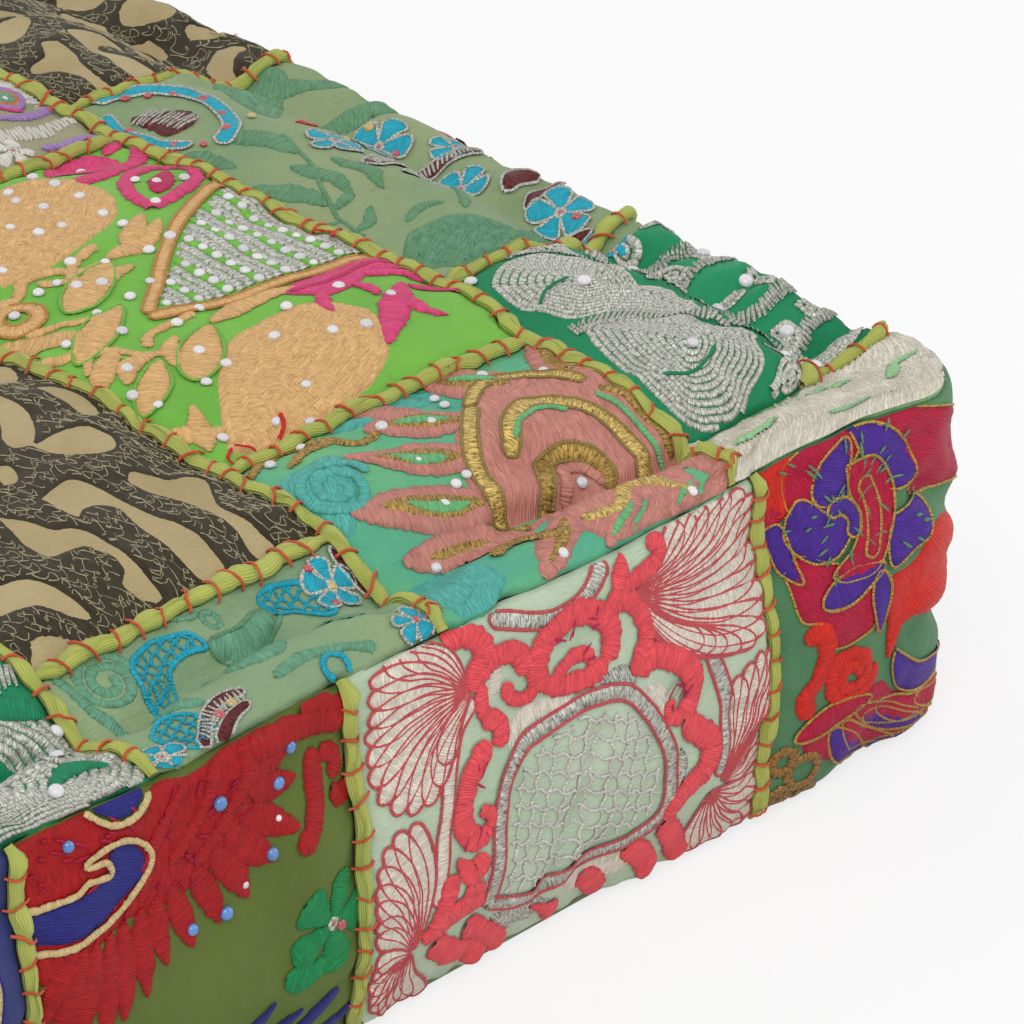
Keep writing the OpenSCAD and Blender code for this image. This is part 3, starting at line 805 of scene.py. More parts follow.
def unit_dome():
    """A half ball of radius 1, open below."""
    if "dome" not in SHAPES:
        bm = bmesh.new()
        bmesh.ops.create_icosphere(bm, subdivisions=2, radius=1)
        parts = bm.verts[:] + bm.edges[:] + bm.faces[:]
        bmesh.ops.bisect_plane(bm, geom=parts, plane_co=(0, 0, -0.2), plane_no=(0, 0, 1),
                               clear_inner=True)
        bmesh.ops.triangulate(bm, faces=bm.faces[:])
        verts, faces = taken(bm)
        SHAPES["dome"] = (verts, np.array(faces))
    return SHAPES["dome"]


class Heap:
    """Shapes gathered for one piece: points in millimetres, faces, flat places, and dyes, which for
    stitched strips and fills hold the yarn's tone times painted shade.
    """

    def __init__(self):
        self.points, self.faces, self.flat, self.dyes = [], [], [], []
        self.count = 0

    def put(self, points, faces, flat, dye):
        points = np.asarray(points, float).reshape(-1, 3)
        self.points.append(points)
        self.faces.append(np.asarray(faces) + self.count)
        self.flat.append(np.broadcast_to(flat, (len(points), 2)))
        self.dyes.append(np.broadcast_to(dye, (len(points), 3)))
        self.count += len(points)

    def piece(self, name, material, slot, thickness=0):
        points = np.vstack(self.points) * MM
        corners = np.concatenate([f.ravel() for f in self.faces])
        sides = np.concatenate([np.full(len(f), f.shape[1]) for f in self.faces])
        mesh = bpy.data.meshes.new(name)
        mesh.vertices.add(len(points))
        mesh.vertices.foreach_set("co", points.astype(np.float32).ravel())
        mesh.loops.add(len(corners))
        mesh.loops.foreach_set("vertex_index", corners.astype(np.int32))
        mesh.polygons.add(len(sides))
        starts = np.concatenate([[0], np.cumsum(sides)[:-1]])
        mesh.polygons.foreach_set("loop_start", starts.astype(np.int32))
        mesh.update(calc_edges=True)
        mesh.shade_smooth()
        flat = np.vstack(self.flat)[corners]
        mesh.uv_layers.new(name="flat").data.foreach_set("uv", flat.astype(np.float32).ravel())
        # the dye attribute holds each point's colour; on strips and fills it is darkened by painted shade
        dyes = np.hstack([np.vstack(self.dyes), np.ones((len(points), 1))])
        mesh.color_attributes.new("dye", "FLOAT_COLOR", "POINT").data.foreach_set(
            "color", dyes.astype(np.float32).ravel())
        mesh.materials.append(material)
        return dressed(bpy.data.objects.new(name, mesh), slot, thickness)


def dressed(obj, slot, thickness=0):
    """Links a new piece to the scene and to the pouf's body."""
    bpy.context.scene.collection.objects.link(obj)
    if thickness:
        wall = obj.modifiers.new("Wall", "SOLIDIFY")
        wall.thickness = thickness
        wall.offset = -1
    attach(obj, BODY)
    return obj


# A patch's mesh: its step, its gap to the seams and how deep its edge is tucked in
PATCH_STEP = 2.4
SEAM_GAP = 0.02
TUCK = 0.6

# Cloths: ground colour, second colour, size of its clouds in millimetres, slot
CLOTHS = {
    "emerald_paisley": ("1E9A68", "0F7E52", 60, "emerald_patch"),
    "silver_paisley": ("1B9463", "0F7A50", 60, "emerald_patch"),
    "jade_lotus": ("6FB97C", "55AE93", 45, "jade_patch"),
    "sage_blossom": ("96A578", "86A077", 50, "sage_patch"),
    "sage_lattice": ("93A97D", "82A27E", 50, "sage_patch"),
    "beige_scroll": ("BBA87D", "AD9A6E", 40, "beige_patch"),
    "gold_lime": ("7FC44C", "72B544", 50, "lime_patch"),
    "mint_medallion": ("B5CBAE", "C3D3BC", 40, "mint_patch"),
    "coral_medallion": ("B4CBAB", "C6D3BC", 40, "mint_patch"),
    "crimson_rose": ("5C8A5E", "4A7C56", 50, "crimson_patch"),
    "linen_lace": ("A9A485", "9C9A7C", 40, "linen_patch"),
    "white_band": ("9CCB8E", "8CC27F", 40, "linen_patch"),
    "red_wing": ("63752B", "56682A", 50, "olive_patch"),
    "indigo_daisy": ("39427F", "2C3468", 50, "indigo_patch"),
}


@cache
def cloth_finish(style):
    """Fine plain weave with soft clouds of a second tone."""
    ground, second, cloud, _ = CLOTHS[style]
    finish = Finish("cloth " + style.replace("_", " "), 0.62, sheen_weight=0.04,
                    specular_ior_level=0.2)
    flat = finish.uv()
    clouds = finish.ramp(finish.noise(flat, 1 / cloud, 3), 0.35, 0.65)
    slubs = finish.noise(finish.scaled(flat, (0.25, 3, 1)), 1, 3)
    tone = finish.mix(clouds, linear(ground), linear(second))
    tone = finish.mix((slubs - 0.5) * 0.5 + 0.12, tone, linear("30362A"), "MULTIPLY")
    warp = finish.wave(flat, 0.95, 0.6, "X")
    weft = finish.wave(flat, 0.95, 0.6, "Y")
    threads = warp * 0.5 + weft * 0.5 + slubs * 0.8
    creases = finish.noise(flat, 0.09, 4, 0.6)
    normal = finish.bump(creases, 0.5, 2.2 * MM)
    finish.set({"Base Color": tone, "Normal": finish.bump(threads, 0.5, 0.12 * MM, normal),
                "Roughness": 0.5 + clouds * 0.2})
    return finish.material


def grid_on(cover, patch):
    """Points, quads and flat places of a patch's own grid."""
    n, m = math.ceil(patch.width / PATCH_STEP), math.ceil(patch.height / PATCH_STEP)
    places, faces = unit_grid(n, m)
    size = np.array([patch.width, patch.height])
    flat = np.array([patch.a0, patch.b0]) + SEAM_GAP + places * (size - 2 * SEAM_GAP)
    edge = np.minimum(places, 1 - places)
    tuck = np.where((edge[:, 0] < 0.5 / n) | (edge[:, 1] < 0.5 / m), -TUCK, 0)
    chart = cover.chart(patch)
    return chart.at(*flat.T, tuck)[0], chart.outwards(faces), flat


class POUF_OT_patches(bpy.types.Operator):
    """Sews the quilted patches, one piece each, in place of the plain ones"""

    bl_idname = "pouf.patches"
    bl_label = "Patches"

    def execute(self, context):
        cover = shared_cover()
        for patch in cover.patches:
            heap = Heap()
            heap.put(*grid_on(cover, patch), (1, 1, 1))
            piece = heap.piece("cloth_" + patch.name, cloth_finish(patch.style),
                               CLOTHS[patch.style][3], context.scene.pouf_sizes.cloth_t)
            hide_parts(patch.name)
            patch.width * MM
            patch.height * MM
        return {"FINISHED"}


@cache
def shared_cover():
    """The one cover that all the pieces lie on."""
    return Cover(bpy.context.scene.pouf_sizes)


# Couched cords


def cord_finish():
    """Soft yarn, its strands twisted along the cord, with painted shade following the strands."""
    finish = Finish("couched yarn", 0.75, sheen_weight=0.08, specular_ior_level=0.2)
    flat, dye = finish.uv(), finish.dye()
    strands = finish.wave(finish.scaled(flat, (1, 0.05, 1)), 0.34, 1.0, "X")
    fuzz = finish.noise(finish.scaled(flat, (2.2, 0.5, 1)), 1, 3)
    # painted shade: the yarn is darkened in a pattern that follows the strands and their fuzz
    depth = finish.ramp(strands * 0.6 + fuzz * 0.4, 0.25, 0.75) * 0.45
    shade = finish.mix(depth, dye, finish.mix(0.55, dye, (0, 0, 0)))
    worn = finish.mix(0.35, dye, linear("D9DC8F"))
    finish.set({"Base Color": finish.mix(finish.noise(finish.place(), 60, 2) * 0.5, shade, worn),
                "Normal": finish.bump(strands + fuzz * 0.6, 0.8, 0.25 * MM)})
    return finish.material


# A cord's step and sides, its height as a share of its width, and how far its middle
# stands over the cloth as a share of its half width
CORD_STEP = 1.4
CORD_SIDES = 14
CORD_HEIGHT = 0.78
CORD_STAND = 0.62
# How much narrower a stitch pinches a cord, and over what length
PINCH = 0.2, 1.3


def lay_cord(heap, chart, line, sizes, colours, seed):
    """A soft cord along flat places, pinched by the stitches that hold it down."""
    rng = np.random.default_rng(seed)
    path, along = smooth_line(line, CORD_STEP)
    total = along[-1]
    width = sizes.cord_d / MM / 2
    gap = sizes.stitch_gap / MM
    stitches = np.cumsum(rng.uniform(0.78, 1.25, int(total / gap) + 4) * gap)
    stitches = stitches[stitches < total - 1.5]
    heading, left = ways(path)
    to_end = np.minimum(along, total - along)
    sway = 0.5 * ripple(along[:, None], 26, seed + 1)
    path = path + left * (sway * np.minimum(1, to_end / 12))[:, None]
    narrow, reach = PINCH
    pinch = 1 - narrow * np.exp(-((along[:, None] - stitches) / reach) ** 2).sum(1)
    plump = pinch * (1 + 0.07 * ripple(along[:, None], 17, seed + 2))
    taper = np.clip(to_end / 5, 0.45, 1) ** 0.7
    turn = np.linspace(0, 2 * math.pi, CORD_SIDES + 1)
    lobes = 1 + 0.05 * np.cos(5 * turn)
    out = np.cos(turn) * lobes
    up = np.sin(turn) * lobes * CORD_HEIGHT
    i, j, faces = counted_grid(len(path) - 1, CORD_SIDES)
    spread = width * plump * taper
    flat = path[i] + left[i] * (out[j] * spread[i])[:, None]
    points, _ = chart.at(*flat.T, CORD_STAND * spread[i] + up[j] * spread[i])
    heap.put(points, chart.outwards(faces), np.stack([turn[j] * width, along[i]], -1),
             np.array(colours.yarn))
    arc = np.linspace(-1, 1, 9)
    height = 0.35 + 1.42 * width * 0.86 * np.sqrt(np.maximum(1 - (arc / 0.93) ** 2, 0))
    for where in stitches:
        centre = np.array([np.interp(where, along, path[:, k]) for k in (0, 1)])
        k = int(np.searchsorted(along, where))
        side = left[k] + heading[k] * rng.uniform(-0.55, 0.55)
        spots = centre + side * (arc * (width * rng.uniform(1.15, 1.45)))[:, None]
        tube(heap, chart, spots, height, rng.uniform(0.34, 0.47), np.array(colours.stitch))


def tube(heap, chart, spots, height, radius, dye, sides=5):
    """A thread over flat places at given heights."""
    centre, normal = chart.at(*spots.T, height)
    heading = unit(np.gradient(centre, axis=0))
    across = unit(np.cross(normal, heading))
    over = np.cross(heading, across)
    turn = np.linspace(0, 2 * math.pi, sides + 1)
    i, j, faces = counted_grid(len(spots) - 1, sides)
    out = across[i] * np.cos(turn[j])[:, None] + over[i] * np.sin(turn[j])[:, None]
    heap.put(centre[i] + radius * out, faces[:, ::-1],
             np.stack([turn[j] * radius, lengths(centre)[i]], -1), dye)


class POUF_OT_cords(bpy.types.Operator):
    """Couches soft yarn cords over the seams with red overcast stitches"""

    bl_idname = "pouf.cords"
    bl_label = "Couched cords"

    def execute(self, context):
        cover = shared_cover()
        finish = cord_finish()
        end = cover.reach - 0.5

        def couch(name, chart, lines, seed):
            heap = Heap()
            for k, line in enumerate(lines):
                lay_cord(heap, chart, line, context.scene.pouf_sizes, context.scene.pouf_colours,
                         seed + k)
            return heap.piece(name, finish, "yarn_cord")

        for i, share in enumerate(COLUMN_SHARES[1:-1]):
            a = share * cover.half
            line = [(a, -end), (a, -end / 3), (a, end / 3), (a, end)]
            piece = couch(f"yarn_column_{i + 1}", cover.top, [line], 100 + i)
            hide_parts(f"cord_column_{i + 1}")
        for i, rows in enumerate(ROW_SHARES):
            a0 = COLUMN_SHARES[i] * cover.half if i else -end
            a1 = COLUMN_SHARES[i + 1] * cover.half if i < 4 else end
            lines = []
            for j, share in enumerate(rows[1:-1]):
                b = share * cover.half
                start = a0 + (0.55 * (a1 - a0) if (i, j) == (4, 0) else 2.0 if i else 0)
                lines.append([(start, b), ((start + a1) / 2, b), (a1 - (2.0 if i < 4 else 0), b)])
                if (i, j) == (4, 1):
                    lines[-1][1:] = [(204, b + 1), (222, b + 7), (a1, b + 9)]
            piece = couch(f"yarn_across_{i + 1}", cover.top, lines, 120 + 10 * i)
            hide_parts(f"cords_across_{i + 1}")
        lines = []
        for _, side, share in SIDE_SEAMS:
            a = cover.side_place(side, share)
            lines.append([(a, cover.lip - 1), (a + 0.6, 50), (a, 90), (a, cover.DEPTH - 3)])
        piece = couch("yarn_sides", cover.side, lines, 180)
        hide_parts("side_cords")
        return {"FINISHED"}


# Embroidery

# Colours of the yarns, by finish
TONES = {
    "silk": {
        "pink": "CB877A", "aqua": "57B2A6", "moss": "9A8444", "jade": "6FB97C", "peach": "E2B478",
        "amber": "C98F4E", "lime": "7FC44C", "hot": "E0457C", "rose": "C22A5E",
        "emerald": "12845A", "white": "E4DDCC", "mint": "9FD29A", "turquoise": "22AAC2",
        "fern": "66966E", "teal": "6BA283", "bark": "352E1B", "cream": "BBB28E",
        "coral": "EE525A", "ivory": "E2DACA", "coralline": "D4585C", "red": "AA1419",
        "scarlet": "D8281C", "navy": "27297A", "straw": "D6BC86", "leaf": "0E8A4C",
        "crimson": "B5123A", "purple": "4B2791", "lilac": "A884C0", "orange": "D97B45",
        "lace": "E6E3D8",
    },
    "zari": {
        "bronze": "B2904C", "gold": "D6B76A", "silver": "C9CABF", "maroon": "6A2B2C",
        "gilt": "C9A24E", "brass": "A57C40",
    },
    "bead": {
        "pearl": "DCD9DD", "stone": "3E7FC6", "ruby": "B5202C", "nugget": "C8A658",
    },
}
YARNS = {yarn: (np.array(linear(code)), kind) for kind, tones in TONES.items()
         for yarn, code in tones.items()}


def silk_finish():
    """Satin stitches: fine threads across each stroke, a little glossy."""
    finish = Finish("silk thread", 0.48, specular_ior_level=0.22)
    flat = finish.uv()
    threads = finish.noise(finish.scaled(flat, (0.28, 1.7, 1)), 1, 4, 0.65)
    strands = finish.wave(finish.scaled(flat, (0.05, 1, 1)), 0.42, 2.5, "Y")
    # painted shade between the threads and painted highlight along the strands, multiplied into the dye
    shade = finish.ramp(threads, 0.3, 0.7) * 0.62 + strands * 0.14 + 0.5
    finish.set({"Base Color": finish.mix(1.0, finish.dye(), shade, "MULTIPLY"),
                "Roughness": 0.38 + threads * 0.25,
                "Normal": finish.bump(threads + strands * 0.5, 0.9, 0.35 * MM)})
    return finish.material


def zari_finish():
    """Metal-wrapped thread: bright strands, painted shade in the gaps between them, and painted glints."""
    finish = Finish("zari thread", 0.36, metallic=0.7)
    flat = finish.uv()
    threads = finish.noise(finish.scaled(flat, (0.4, 2.3, 1)), 1, 4, 0.7)
    breaks_and_glints = finish.noise(flat, 0.8, 3)
    # painted shade darkens the gaps between the threads and painted glints brighten clouds, multiplied
    # into the dye
    shade = finish.ramp(threads, 0.4, 0.58) * 0.85 + finish.ramp(breaks_and_glints, 0.35, 0.6) * 0.3 + 0.12
    finish.set({"Base Color": finish.mix(1.0, finish.dye(), shade, "MULTIPLY"),
                "Roughness": 0.28 + breaks_and_glints * 0.3,
                "Normal": finish.bump(threads + breaks_and_glints * 0.4, 1.0, 0.5 * MM)})
    return finish.material


def bead_finish():
    """Pearly glass beads."""
    finish = Finish("beads", 0.22, coat_weight=0.5, coat_roughness=0.12)
    dye, bloom = finish.dye(), finish.noise(finish.place(), 700, 2)
    pale = finish.mix(0.5, dye, (0.5, 0.52, 0.55))
    finish.set({"Base Color": finish.mix(finish.ramp(bloom, 0.35, 0.7) * 0.35, dye, pale),
                "Roughness": 0.16 + bloom * 0.18,
                "Normal": finish.bump(bloom, 0.2, 0.1 * MM)})
    return finish.material


def inside(spots, ring):
    """Which flat spots lie inside a closed outline."""
    after = np.roll(ring, -1, 0)
    x, y = spots[:, :1], spots[:, 1:]
    spans = (ring[:, 1] > y) != (after[:, 1] > y)
    rise = np.where(after[:, 1] == ring[:, 1], 1e-9, after[:, 1] - ring[:, 1])
    crossing = (after[:, 0] - ring[:, 0]) * (y - ring[:, 1]) / rise + ring[:, 0]
    return (spans & (x < crossing)).sum(1) % 2 == 1


class Needle:
    """Works a design's stitches into one patch.

    A design is drawn on its home patch. On another patch of its kind it is repeated
    from the middle, turned over from one repeat to the next.
    """

    # Step along a stroke, and the margin of a patch that stays free of stitches
    STEP = 1.0
    MARGIN = 0.7
    # Height of a layer. Within a layer, each of twelve strokes in turn lies a little higher
    LAYER = 0.3
    TURNS, TURN = 12, 0.012
    # Sizes at which a design is repeated
    SCALES = 0.85, 1.3

    def __init__(self, cover, patch, heaps):
        self.cover, self.patch, self.heaps = cover, patch, heaps
        self.chart = cover.chart(patch)
        self.rng = np.random.default_rng(sum(map(ord, patch.name)))
        self.low = np.array([patch.a0, patch.b0]) + self.MARGIN
        self.high = np.array([patch.a1, patch.b1]) - self.MARGIN
        self.order = 0

    def put(self, yarn, points, faces, flat, shade):
        """Adds stitches to the heap of the yarn's finish and the patch's slot."""
        tone, kind = YARNS[yarn]
        heap = self.heaps.setdefault((CLOTHS[self.patch.style][3], kind), Heap())
        heap.put(points, faces, flat, tone * shade)

    def repeats(self, home):
        """Middle of the drawing, its scale and flip, and where its middle comes."""
        if home is self.patch:
            return [(np.zeros(2), np.ones(2), np.zeros(2))]
        size = np.array([home.width, home.height])
        room = np.array([self.patch.width, self.patch.height])
        counts = np.maximum(np.rint(room / size), 1).astype(int)
        scale = np.clip((room / size / counts).mean(), *self.SCALES)
        middle, here = (np.array([p.a0 + p.a1, p.b0 + p.b1]) / 2 for p in (home, self.patch))
        return [(middle, np.array([-1 if i % 2 == 0 else 1, -1 if j % 2 else 1]) * scale,
                 here + (np.array([i, j]) - (counts - 1) / 2) * size * scale)
                for i in range(counts[0]) for j in range(counts[1])]

    def sew(self, home, text):
        """Sews a design's lines, on its home patch or repeated on another."""
        around = self.cover.around
        for middle, flip, offset in self.repeats(home):
            self.scale = abs(flip[0])
            for line in text.strip().splitlines():
                head, _, tail = line.partition("|")
                kind, yarn, size, layer = head.split()
                rings = []
                for part in tail.split(";"):
                    spots = np.array([[float(n) for n in pair.split()] for pair in part.split(",")])
                    spots[:, 0] += around * np.round(((home.a0 + home.a1) / 2 - spots[0, 0]) / around)
                    flat = (spots[:, :2] - middle) * flip + offset
                    rings.append(np.hstack([flat, spots[:, 2:] * self.scale]))
                spots, *self.holes = rings
                yarn, _, edge = yarn.partition("/")
                self.order = (self.order + 1) % self.TURNS
                lift = float(layer) * self.LAYER + self.TURN * self.order
                getattr(self, kind)(yarn, edge, float(size), lift, spots)

    def within(self, path, reach=0.0):
        return ((path > self.low - reach) & (path < self.high + reach)).all(1)

    def strip(self, yarn, path, spread, height, lift, sides=2, ragged=0.06):
        """One raised band of stitches along a path, cut off at the patch's edge."""
        _, left = ways(path)
        along = lengths(path)
        spread = np.broadcast_to(spread, len(path))
        across = np.linspace(-1, 1, sides + 1)
        across = np.sign(across) * np.abs(across) ** 0.45
        profile = np.interp(np.abs(across), [0, 0.8, 1], [1, 0.86, 0])
        for start, stop in runs(self.within(path)):
            if stop - start < 3:
                continue
            count = stop - start
            jag = self.rng.uniform(-ragged, ragged, (2, count))
            i, j, faces = counted_grid(count - 1, sides)
            at = start + i
            rough = np.where(j == 0, jag[0, i], np.where(j == sides, jag[1, i], 0))
            reach = across[j] * spread[at] + np.sign(across[j]) * rough
            flat = np.clip(path[at] + left[at] * reach[:, None], self.low - 0.4, self.high + 0.4)
            plump = height * (1 + 0.12 * self.rng.uniform(-1, 1, count))
            bulge = profile[j] * plump[i] * np.minimum(1, 0.3 + spread[at] / 1.2)
            points, _ = self.chart.at(*flat.T, lift + bulge - 0.12 * (profile[j] == 0))
            # painted shade: darker towards the stroke's edges, where it meets the cloth; each row also
            # varies in tone at random
            shade = (0.74 + 0.26 * profile[j]) * (1 + 0.1 * self.rng.uniform(-1, 1, count))[i]
            self.put(yarn, points, self.chart.outwards(faces),
                     np.stack([reach, along[at] + 7 * self.order], -1), shade[:, None])

    def band(self, kind, yarn, edge, width, lift, spots, closed=False):
        """A stroke along places, with a thread on each side where it has an edge."""
        width = width * self.scale
        path, along = smooth_line(ring_of(spots) if closed else spots[:, :2], self.STEP)
        share = along / along[-1]
        if closed:
            full = np.ones(len(along))
        elif kind == "leaf":
            full = 0.1 + 0.9 * np.sin(math.pi * share ** 0.85) ** 0.8
        elif kind == "drop":
            round_end = np.sqrt(np.clip(1 - np.clip((share - 0.7) / 0.3, 0, 1) ** 2, 0, 1))
            full = 0.12 + 0.88 * np.clip(share / 0.7, 0, 1) ** 0.8 * round_end
        else:
            near = np.minimum(along, along[-1] - along) / max(min(width / 2, along[-1] / 3), 0.1)
            full = np.sqrt(np.clip(1 - (1 - np.minimum(near, 1)) ** 2, 0.08, 1))
        spread = width / 2 * full
        self.strip(yarn, path, spread, min(0.5, 0.28 + 0.05 * width), lift, 4,
                   min(0.5, 0.12 * width))
        if edge:
            left = ways(path)[1] * spread[:, None]
            loops = [path + left, path - left]
            if not closed:
                loops = [ring_of(np.vstack([loops[0], loops[1][::-1]]))]
            for loop in loops:
                self.cordlet(edge, loop, 1.05, lift + 0.26)

    def cordlet(self, yarn, line, width, lift):
        """A fine couched thread along a given line."""
        path, _ = smooth_line(line[::2] if len(line) > 24 else line, self.STEP)
        self.strip(yarn, path, width / 2, 0.5, lift + 0.12)

    satin = partialmethod(band, "satin")
    leaf = partialmethod(band, "leaf")
    drop = partialmethod(band, "drop")
    loop = partialmethod(band, "satin", closed=True)

    def thread(self, yarn, edge, width, lift, spots):
        path, _ = smooth_line(spots[:, :2], self.STEP)
        self.strip(yarn, path, width * self.scale / 2, 0.6, lift, 2, 0.08)

    def ring(self, yarn, edge, width, lift, spots):
        for x, y, radius in spots:
            turn = np.linspace(0, 2 * math.pi, 13)[:-1]
            line = np.stack([x + radius * np.cos(turn), y + radius * np.sin(turn)], -1)
            self.loop(yarn, edge, width, lift, line)

    def spiral(self, yarn, edge, width, lift, spots):
        for x, y, radius in spots:
            turn = np.linspace(0, 4.2 * math.pi, 26)
            out = radius * (1 - 0.82 * turn / turn[-1])
            line = np.stack([x + out * np.cos(turn), y + out * np.sin(turn)], -1)
            self.satin(yarn, edge, width, lift, line)

    def fill(self, yarn, edge, way, lift, spots):
        """A flat area of stitches whose threads run at an angle."""
        rings = self.outlines(spots)
        ring = np.vstack(rings)
        low, high = np.maximum(ring.min(0), self.low), np.minimum(ring.max(0), self.high)
        if (high - low < 2).any():
            return
        step = 1.25
        n, m = (int(c) for c in np.ceil((high - low) / step))
        places, faces = unit_grid(n, m)
        flat = low + places * (high - low)
        gap = np.linalg.norm(flat[:, None] - ring[None], axis=2)
        nearest, near = gap.argmin(1), gap.min(1)
        good = self.covered(flat, rings)
        snap = near < 0.72 * step
        flat = np.where(snap[:, None], np.clip(ring[nearest], low, high), flat)
        faces = faces[(good | snap)[faces].all(1) & (good[faces].any(1))]
        if not len(faces):
            return
        used, faces = np.unique(faces, return_inverse=True)
        flat, near, snap = flat[used], np.where(snap, 0, near)[used], snap[used]
        turn = math.radians(way)
        stretch = np.stack([flat @ [math.cos(turn), math.sin(turn)],
                            flat @ [-math.sin(turn), math.cos(turn)]], -1)
        grain = ripple(stretch * [0.25, 1], 2.6, len(used))
        tall = lift + 0.5 * (1 - np.exp(-near / 0.9)) + 0.09 * grain * (near > 0) - 0.1 * snap
        points, _ = self.chart.at(*flat.T, tall)
        # painted shade: darker close to the area's outline; the grain also varies the tone at random
        shade = (0.8 + 0.2 * np.clip(near / 1.5, 0, 1)) * (1 + 0.07 * grain)
        self.put(yarn, points, self.chart.outwards(faces.reshape(-1, 4)), stretch, shade[:, None])
        for ring in rings if edge else ():
            self.cordlet(edge, ring_of(ring), 0.85, lift + 0.2)

    def outlines(self, spots):
        """The closed outline of an area and those of its holes, as smooth lines."""
        return [smooth_line(ring_of(ring), self.STEP)[0][:-1] for ring in (spots, *self.holes)]

    def covered(self, flat, rings):
        """Which flat places lie in an area and outside its holes."""
        return sum(inside(flat, ring).astype(int) for ring in rings) % 2 == 1

    def maze(self, yarn, edge, way, lift, spots):
        """An area with holes, and wavy pale threads over it."""
        self.fill(yarn, "", way, lift, spots)
        rings = self.outlines(spots)
        low, high = rings[0].min(0), rings[0].max(0)
        for k, x in enumerate(np.arange(low[0] + 2, high[0], 3.6)):
            y = np.arange(low[1], high[1], 0.42)
            turn = y * 1.25 + 1.3 * ripple(y[:, None], 14, 90 + k)
            line = np.stack([x + 1.7 * np.sin(turn) + 0.7 * ripple(y[:, None], 17, 50 + k),
                             y + 1.35 * np.sin(2 * turn + k) + ripple(y[:, None], 11, 290 + k)], -1)
            gap = np.linalg.norm(line[:, None] - np.vstack(rings), axis=2).min(1)
            for start, stop in runs(self.covered(line, rings) & (gap > 1.1)):
                if stop - start > 5:
                    self.strip(edge, line[start:stop], 0.17, 0.34, lift + 0.5, 2, 0.03)

    def shells(self, yarn, edge, pitch, lift, spots):
        """Bands one inside the other from an outline to a focus, the last place."""
        focus = spots[-1, :2]
        ring, _ = smooth_line(ring_of(spots[:-1]), self.STEP)
        reach = np.linalg.norm(ring - focus, axis=1)
        count = max(2, round(reach.mean() / pitch / self.scale))
        full, height = (0.46, 0.45) if pitch < 3 else (0.3, 0.25)
        for k in range(count):
            share = 1 - (k + 0.5) / count
            step = max(1, round(0.8 / share))
            line = np.vstack([ring[:-1:step], ring[:1]])
            spread = np.append(reach[:-1:step], reach[0]) / count * full
            self.strip(yarn, focus + (line - focus) * share, spread, height, lift, 4, 0.15)

    def slits(self, yarn, edge, width, lift, spots):
        """Short threads strewn over an outline's area, pointing to its middle."""
        low, high = spots.min(0), spots.max(0)
        spread = width / 2 * np.array([0.3, 0.8, 1, 1, 0.8, 0.3])
        for _ in range(int(np.prod(high - low) / 34)):
            spot = self.rng.uniform(low, high)
            if inside(spot[None], spots)[0]:
                way = unit(spots.mean(0) - spot + self.rng.normal(size=2) * 4)
                line = spot + way * self.rng.uniform(1, 2.6) * np.linspace(-1, 1, 6)[:, None]
                self.strip(yarn, line, spread, 0.3, lift, 2, 0.08)

    def beads(self, yarn, edge, radius, lift, spots):
        spots = spots[self.within(spots[:, :2], -radius)]
        if not len(spots):
            return
        dome, faces = unit_dome()
        radius = 0.8 * radius * self.rng.uniform(0.85, 1.15, len(spots))
        centre, normal = self.chart.at(spots[:, 0], spots[:, 1], 0.45 * lift + 0.12 * radius)
        side = unit(np.cross(normal, [0.31, 0.2, 0.93]))
        other = np.cross(normal, side)
        points = centre[:, None] + radius[:, None, None] * (
            dome[None, :, :1] * side[:, None] + dome[None, :, 1:2] * other[:, None]
            + 0.68 * dome[None, :, 2:] * normal[:, None])
        faces = (faces[None] + len(dome) * np.arange(len(spots))[:, None, None]).reshape(-1, 3)
        shade = self.rng.uniform(0.8, 1.08, (len(spots), 1))
        self.put(yarn, points.reshape(-1, 3), faces, (0, 0), np.repeat(shade, len(dome), 0))

    def flower(self, yarn, edge, radius, lift, spots):
        """Five petals round a metal centre with a bead."""
        size = radius * self.scale
        for spot in spots[:, :2]:
            for turn in self.rng.uniform(0, 1) + np.arange(5) * 2 * math.pi / 5:
                way = direction(turn)
                petal = np.array([spot + way * size * 0.08, spot + way * size])
                self.drop(yarn, edge, radius * 0.8, lift, petal)
            self.ring("silver", "", 1.6, lift + 0.3, np.array([[*spot, 1.4]]))
            self.beads("ruby", "", 1.1, lift + 0.9, spot[None])

    def fan(self, yarn, edge, width, lift, spots):
        """Feathers side by side from a root, the first place, to a line of tips."""
        root = spots[0, :2]
        tips, _ = smooth_line(spots[1:, :2], 0.74 * width * self.scale)
        for k, tip in enumerate(tips):
            line = (tip - root) * self.rng.uniform(0.93, 1)
            bend = np.array([-line[1], line[0]]) * 0.09
            feather = np.array([root, root + line * 0.5 + bend, tip])
            self.drop(yarn, edge, width, lift + 0.02 * k, feather)

    def ribs(self, yarn, edge, width, lift, spots):
        """Separate slanted bars side by side along a line."""
        path, _ = smooth_line(spots[:, :2], 1.55)
        half = width * self.scale / 2
        for spot, ahead, side in zip(path, *ways(path)):
            way = side + ahead * self.rng.uniform(0.1, 0.45)
            reach = half * self.rng.uniform(0.8, 1.1)
            bar = spot + way * np.linspace(-reach, reach, 5)[:, None]
            self.strip(yarn, bar, np.array([0.4, 0.6, 0.66, 0.6, 0.4]), 0.7, lift)

    def net(self, yarn, edge, cell, lift, spots):
        """Slanted crossing threads inside an outline."""
        ring = smooth_line(ring_of(spots), 1.5)[0][:-1]
        middle = ring.mean(0)
        reach = np.linalg.norm(ring - middle, axis=1).max()
        cell = cell * self.scale
        steps = np.arange(-reach, reach, 1.2)
        for way in map(direction, (0.42, 1.72)):
            side = np.array([-way[1], way[0]])
            for offset in np.arange(-reach, reach, cell):
                line = middle + side * offset + way * steps[:, None]
                line = line + side * (0.12 * cell * np.sin(steps / cell * 5 + offset))[:, None]
                for start, stop in runs(inside(line, ring)):
                    if stop - start > 2:
                        self.strip(yarn, line[start:stop], 0.42, 0.7, lift + 0.2, 2, 0.05)

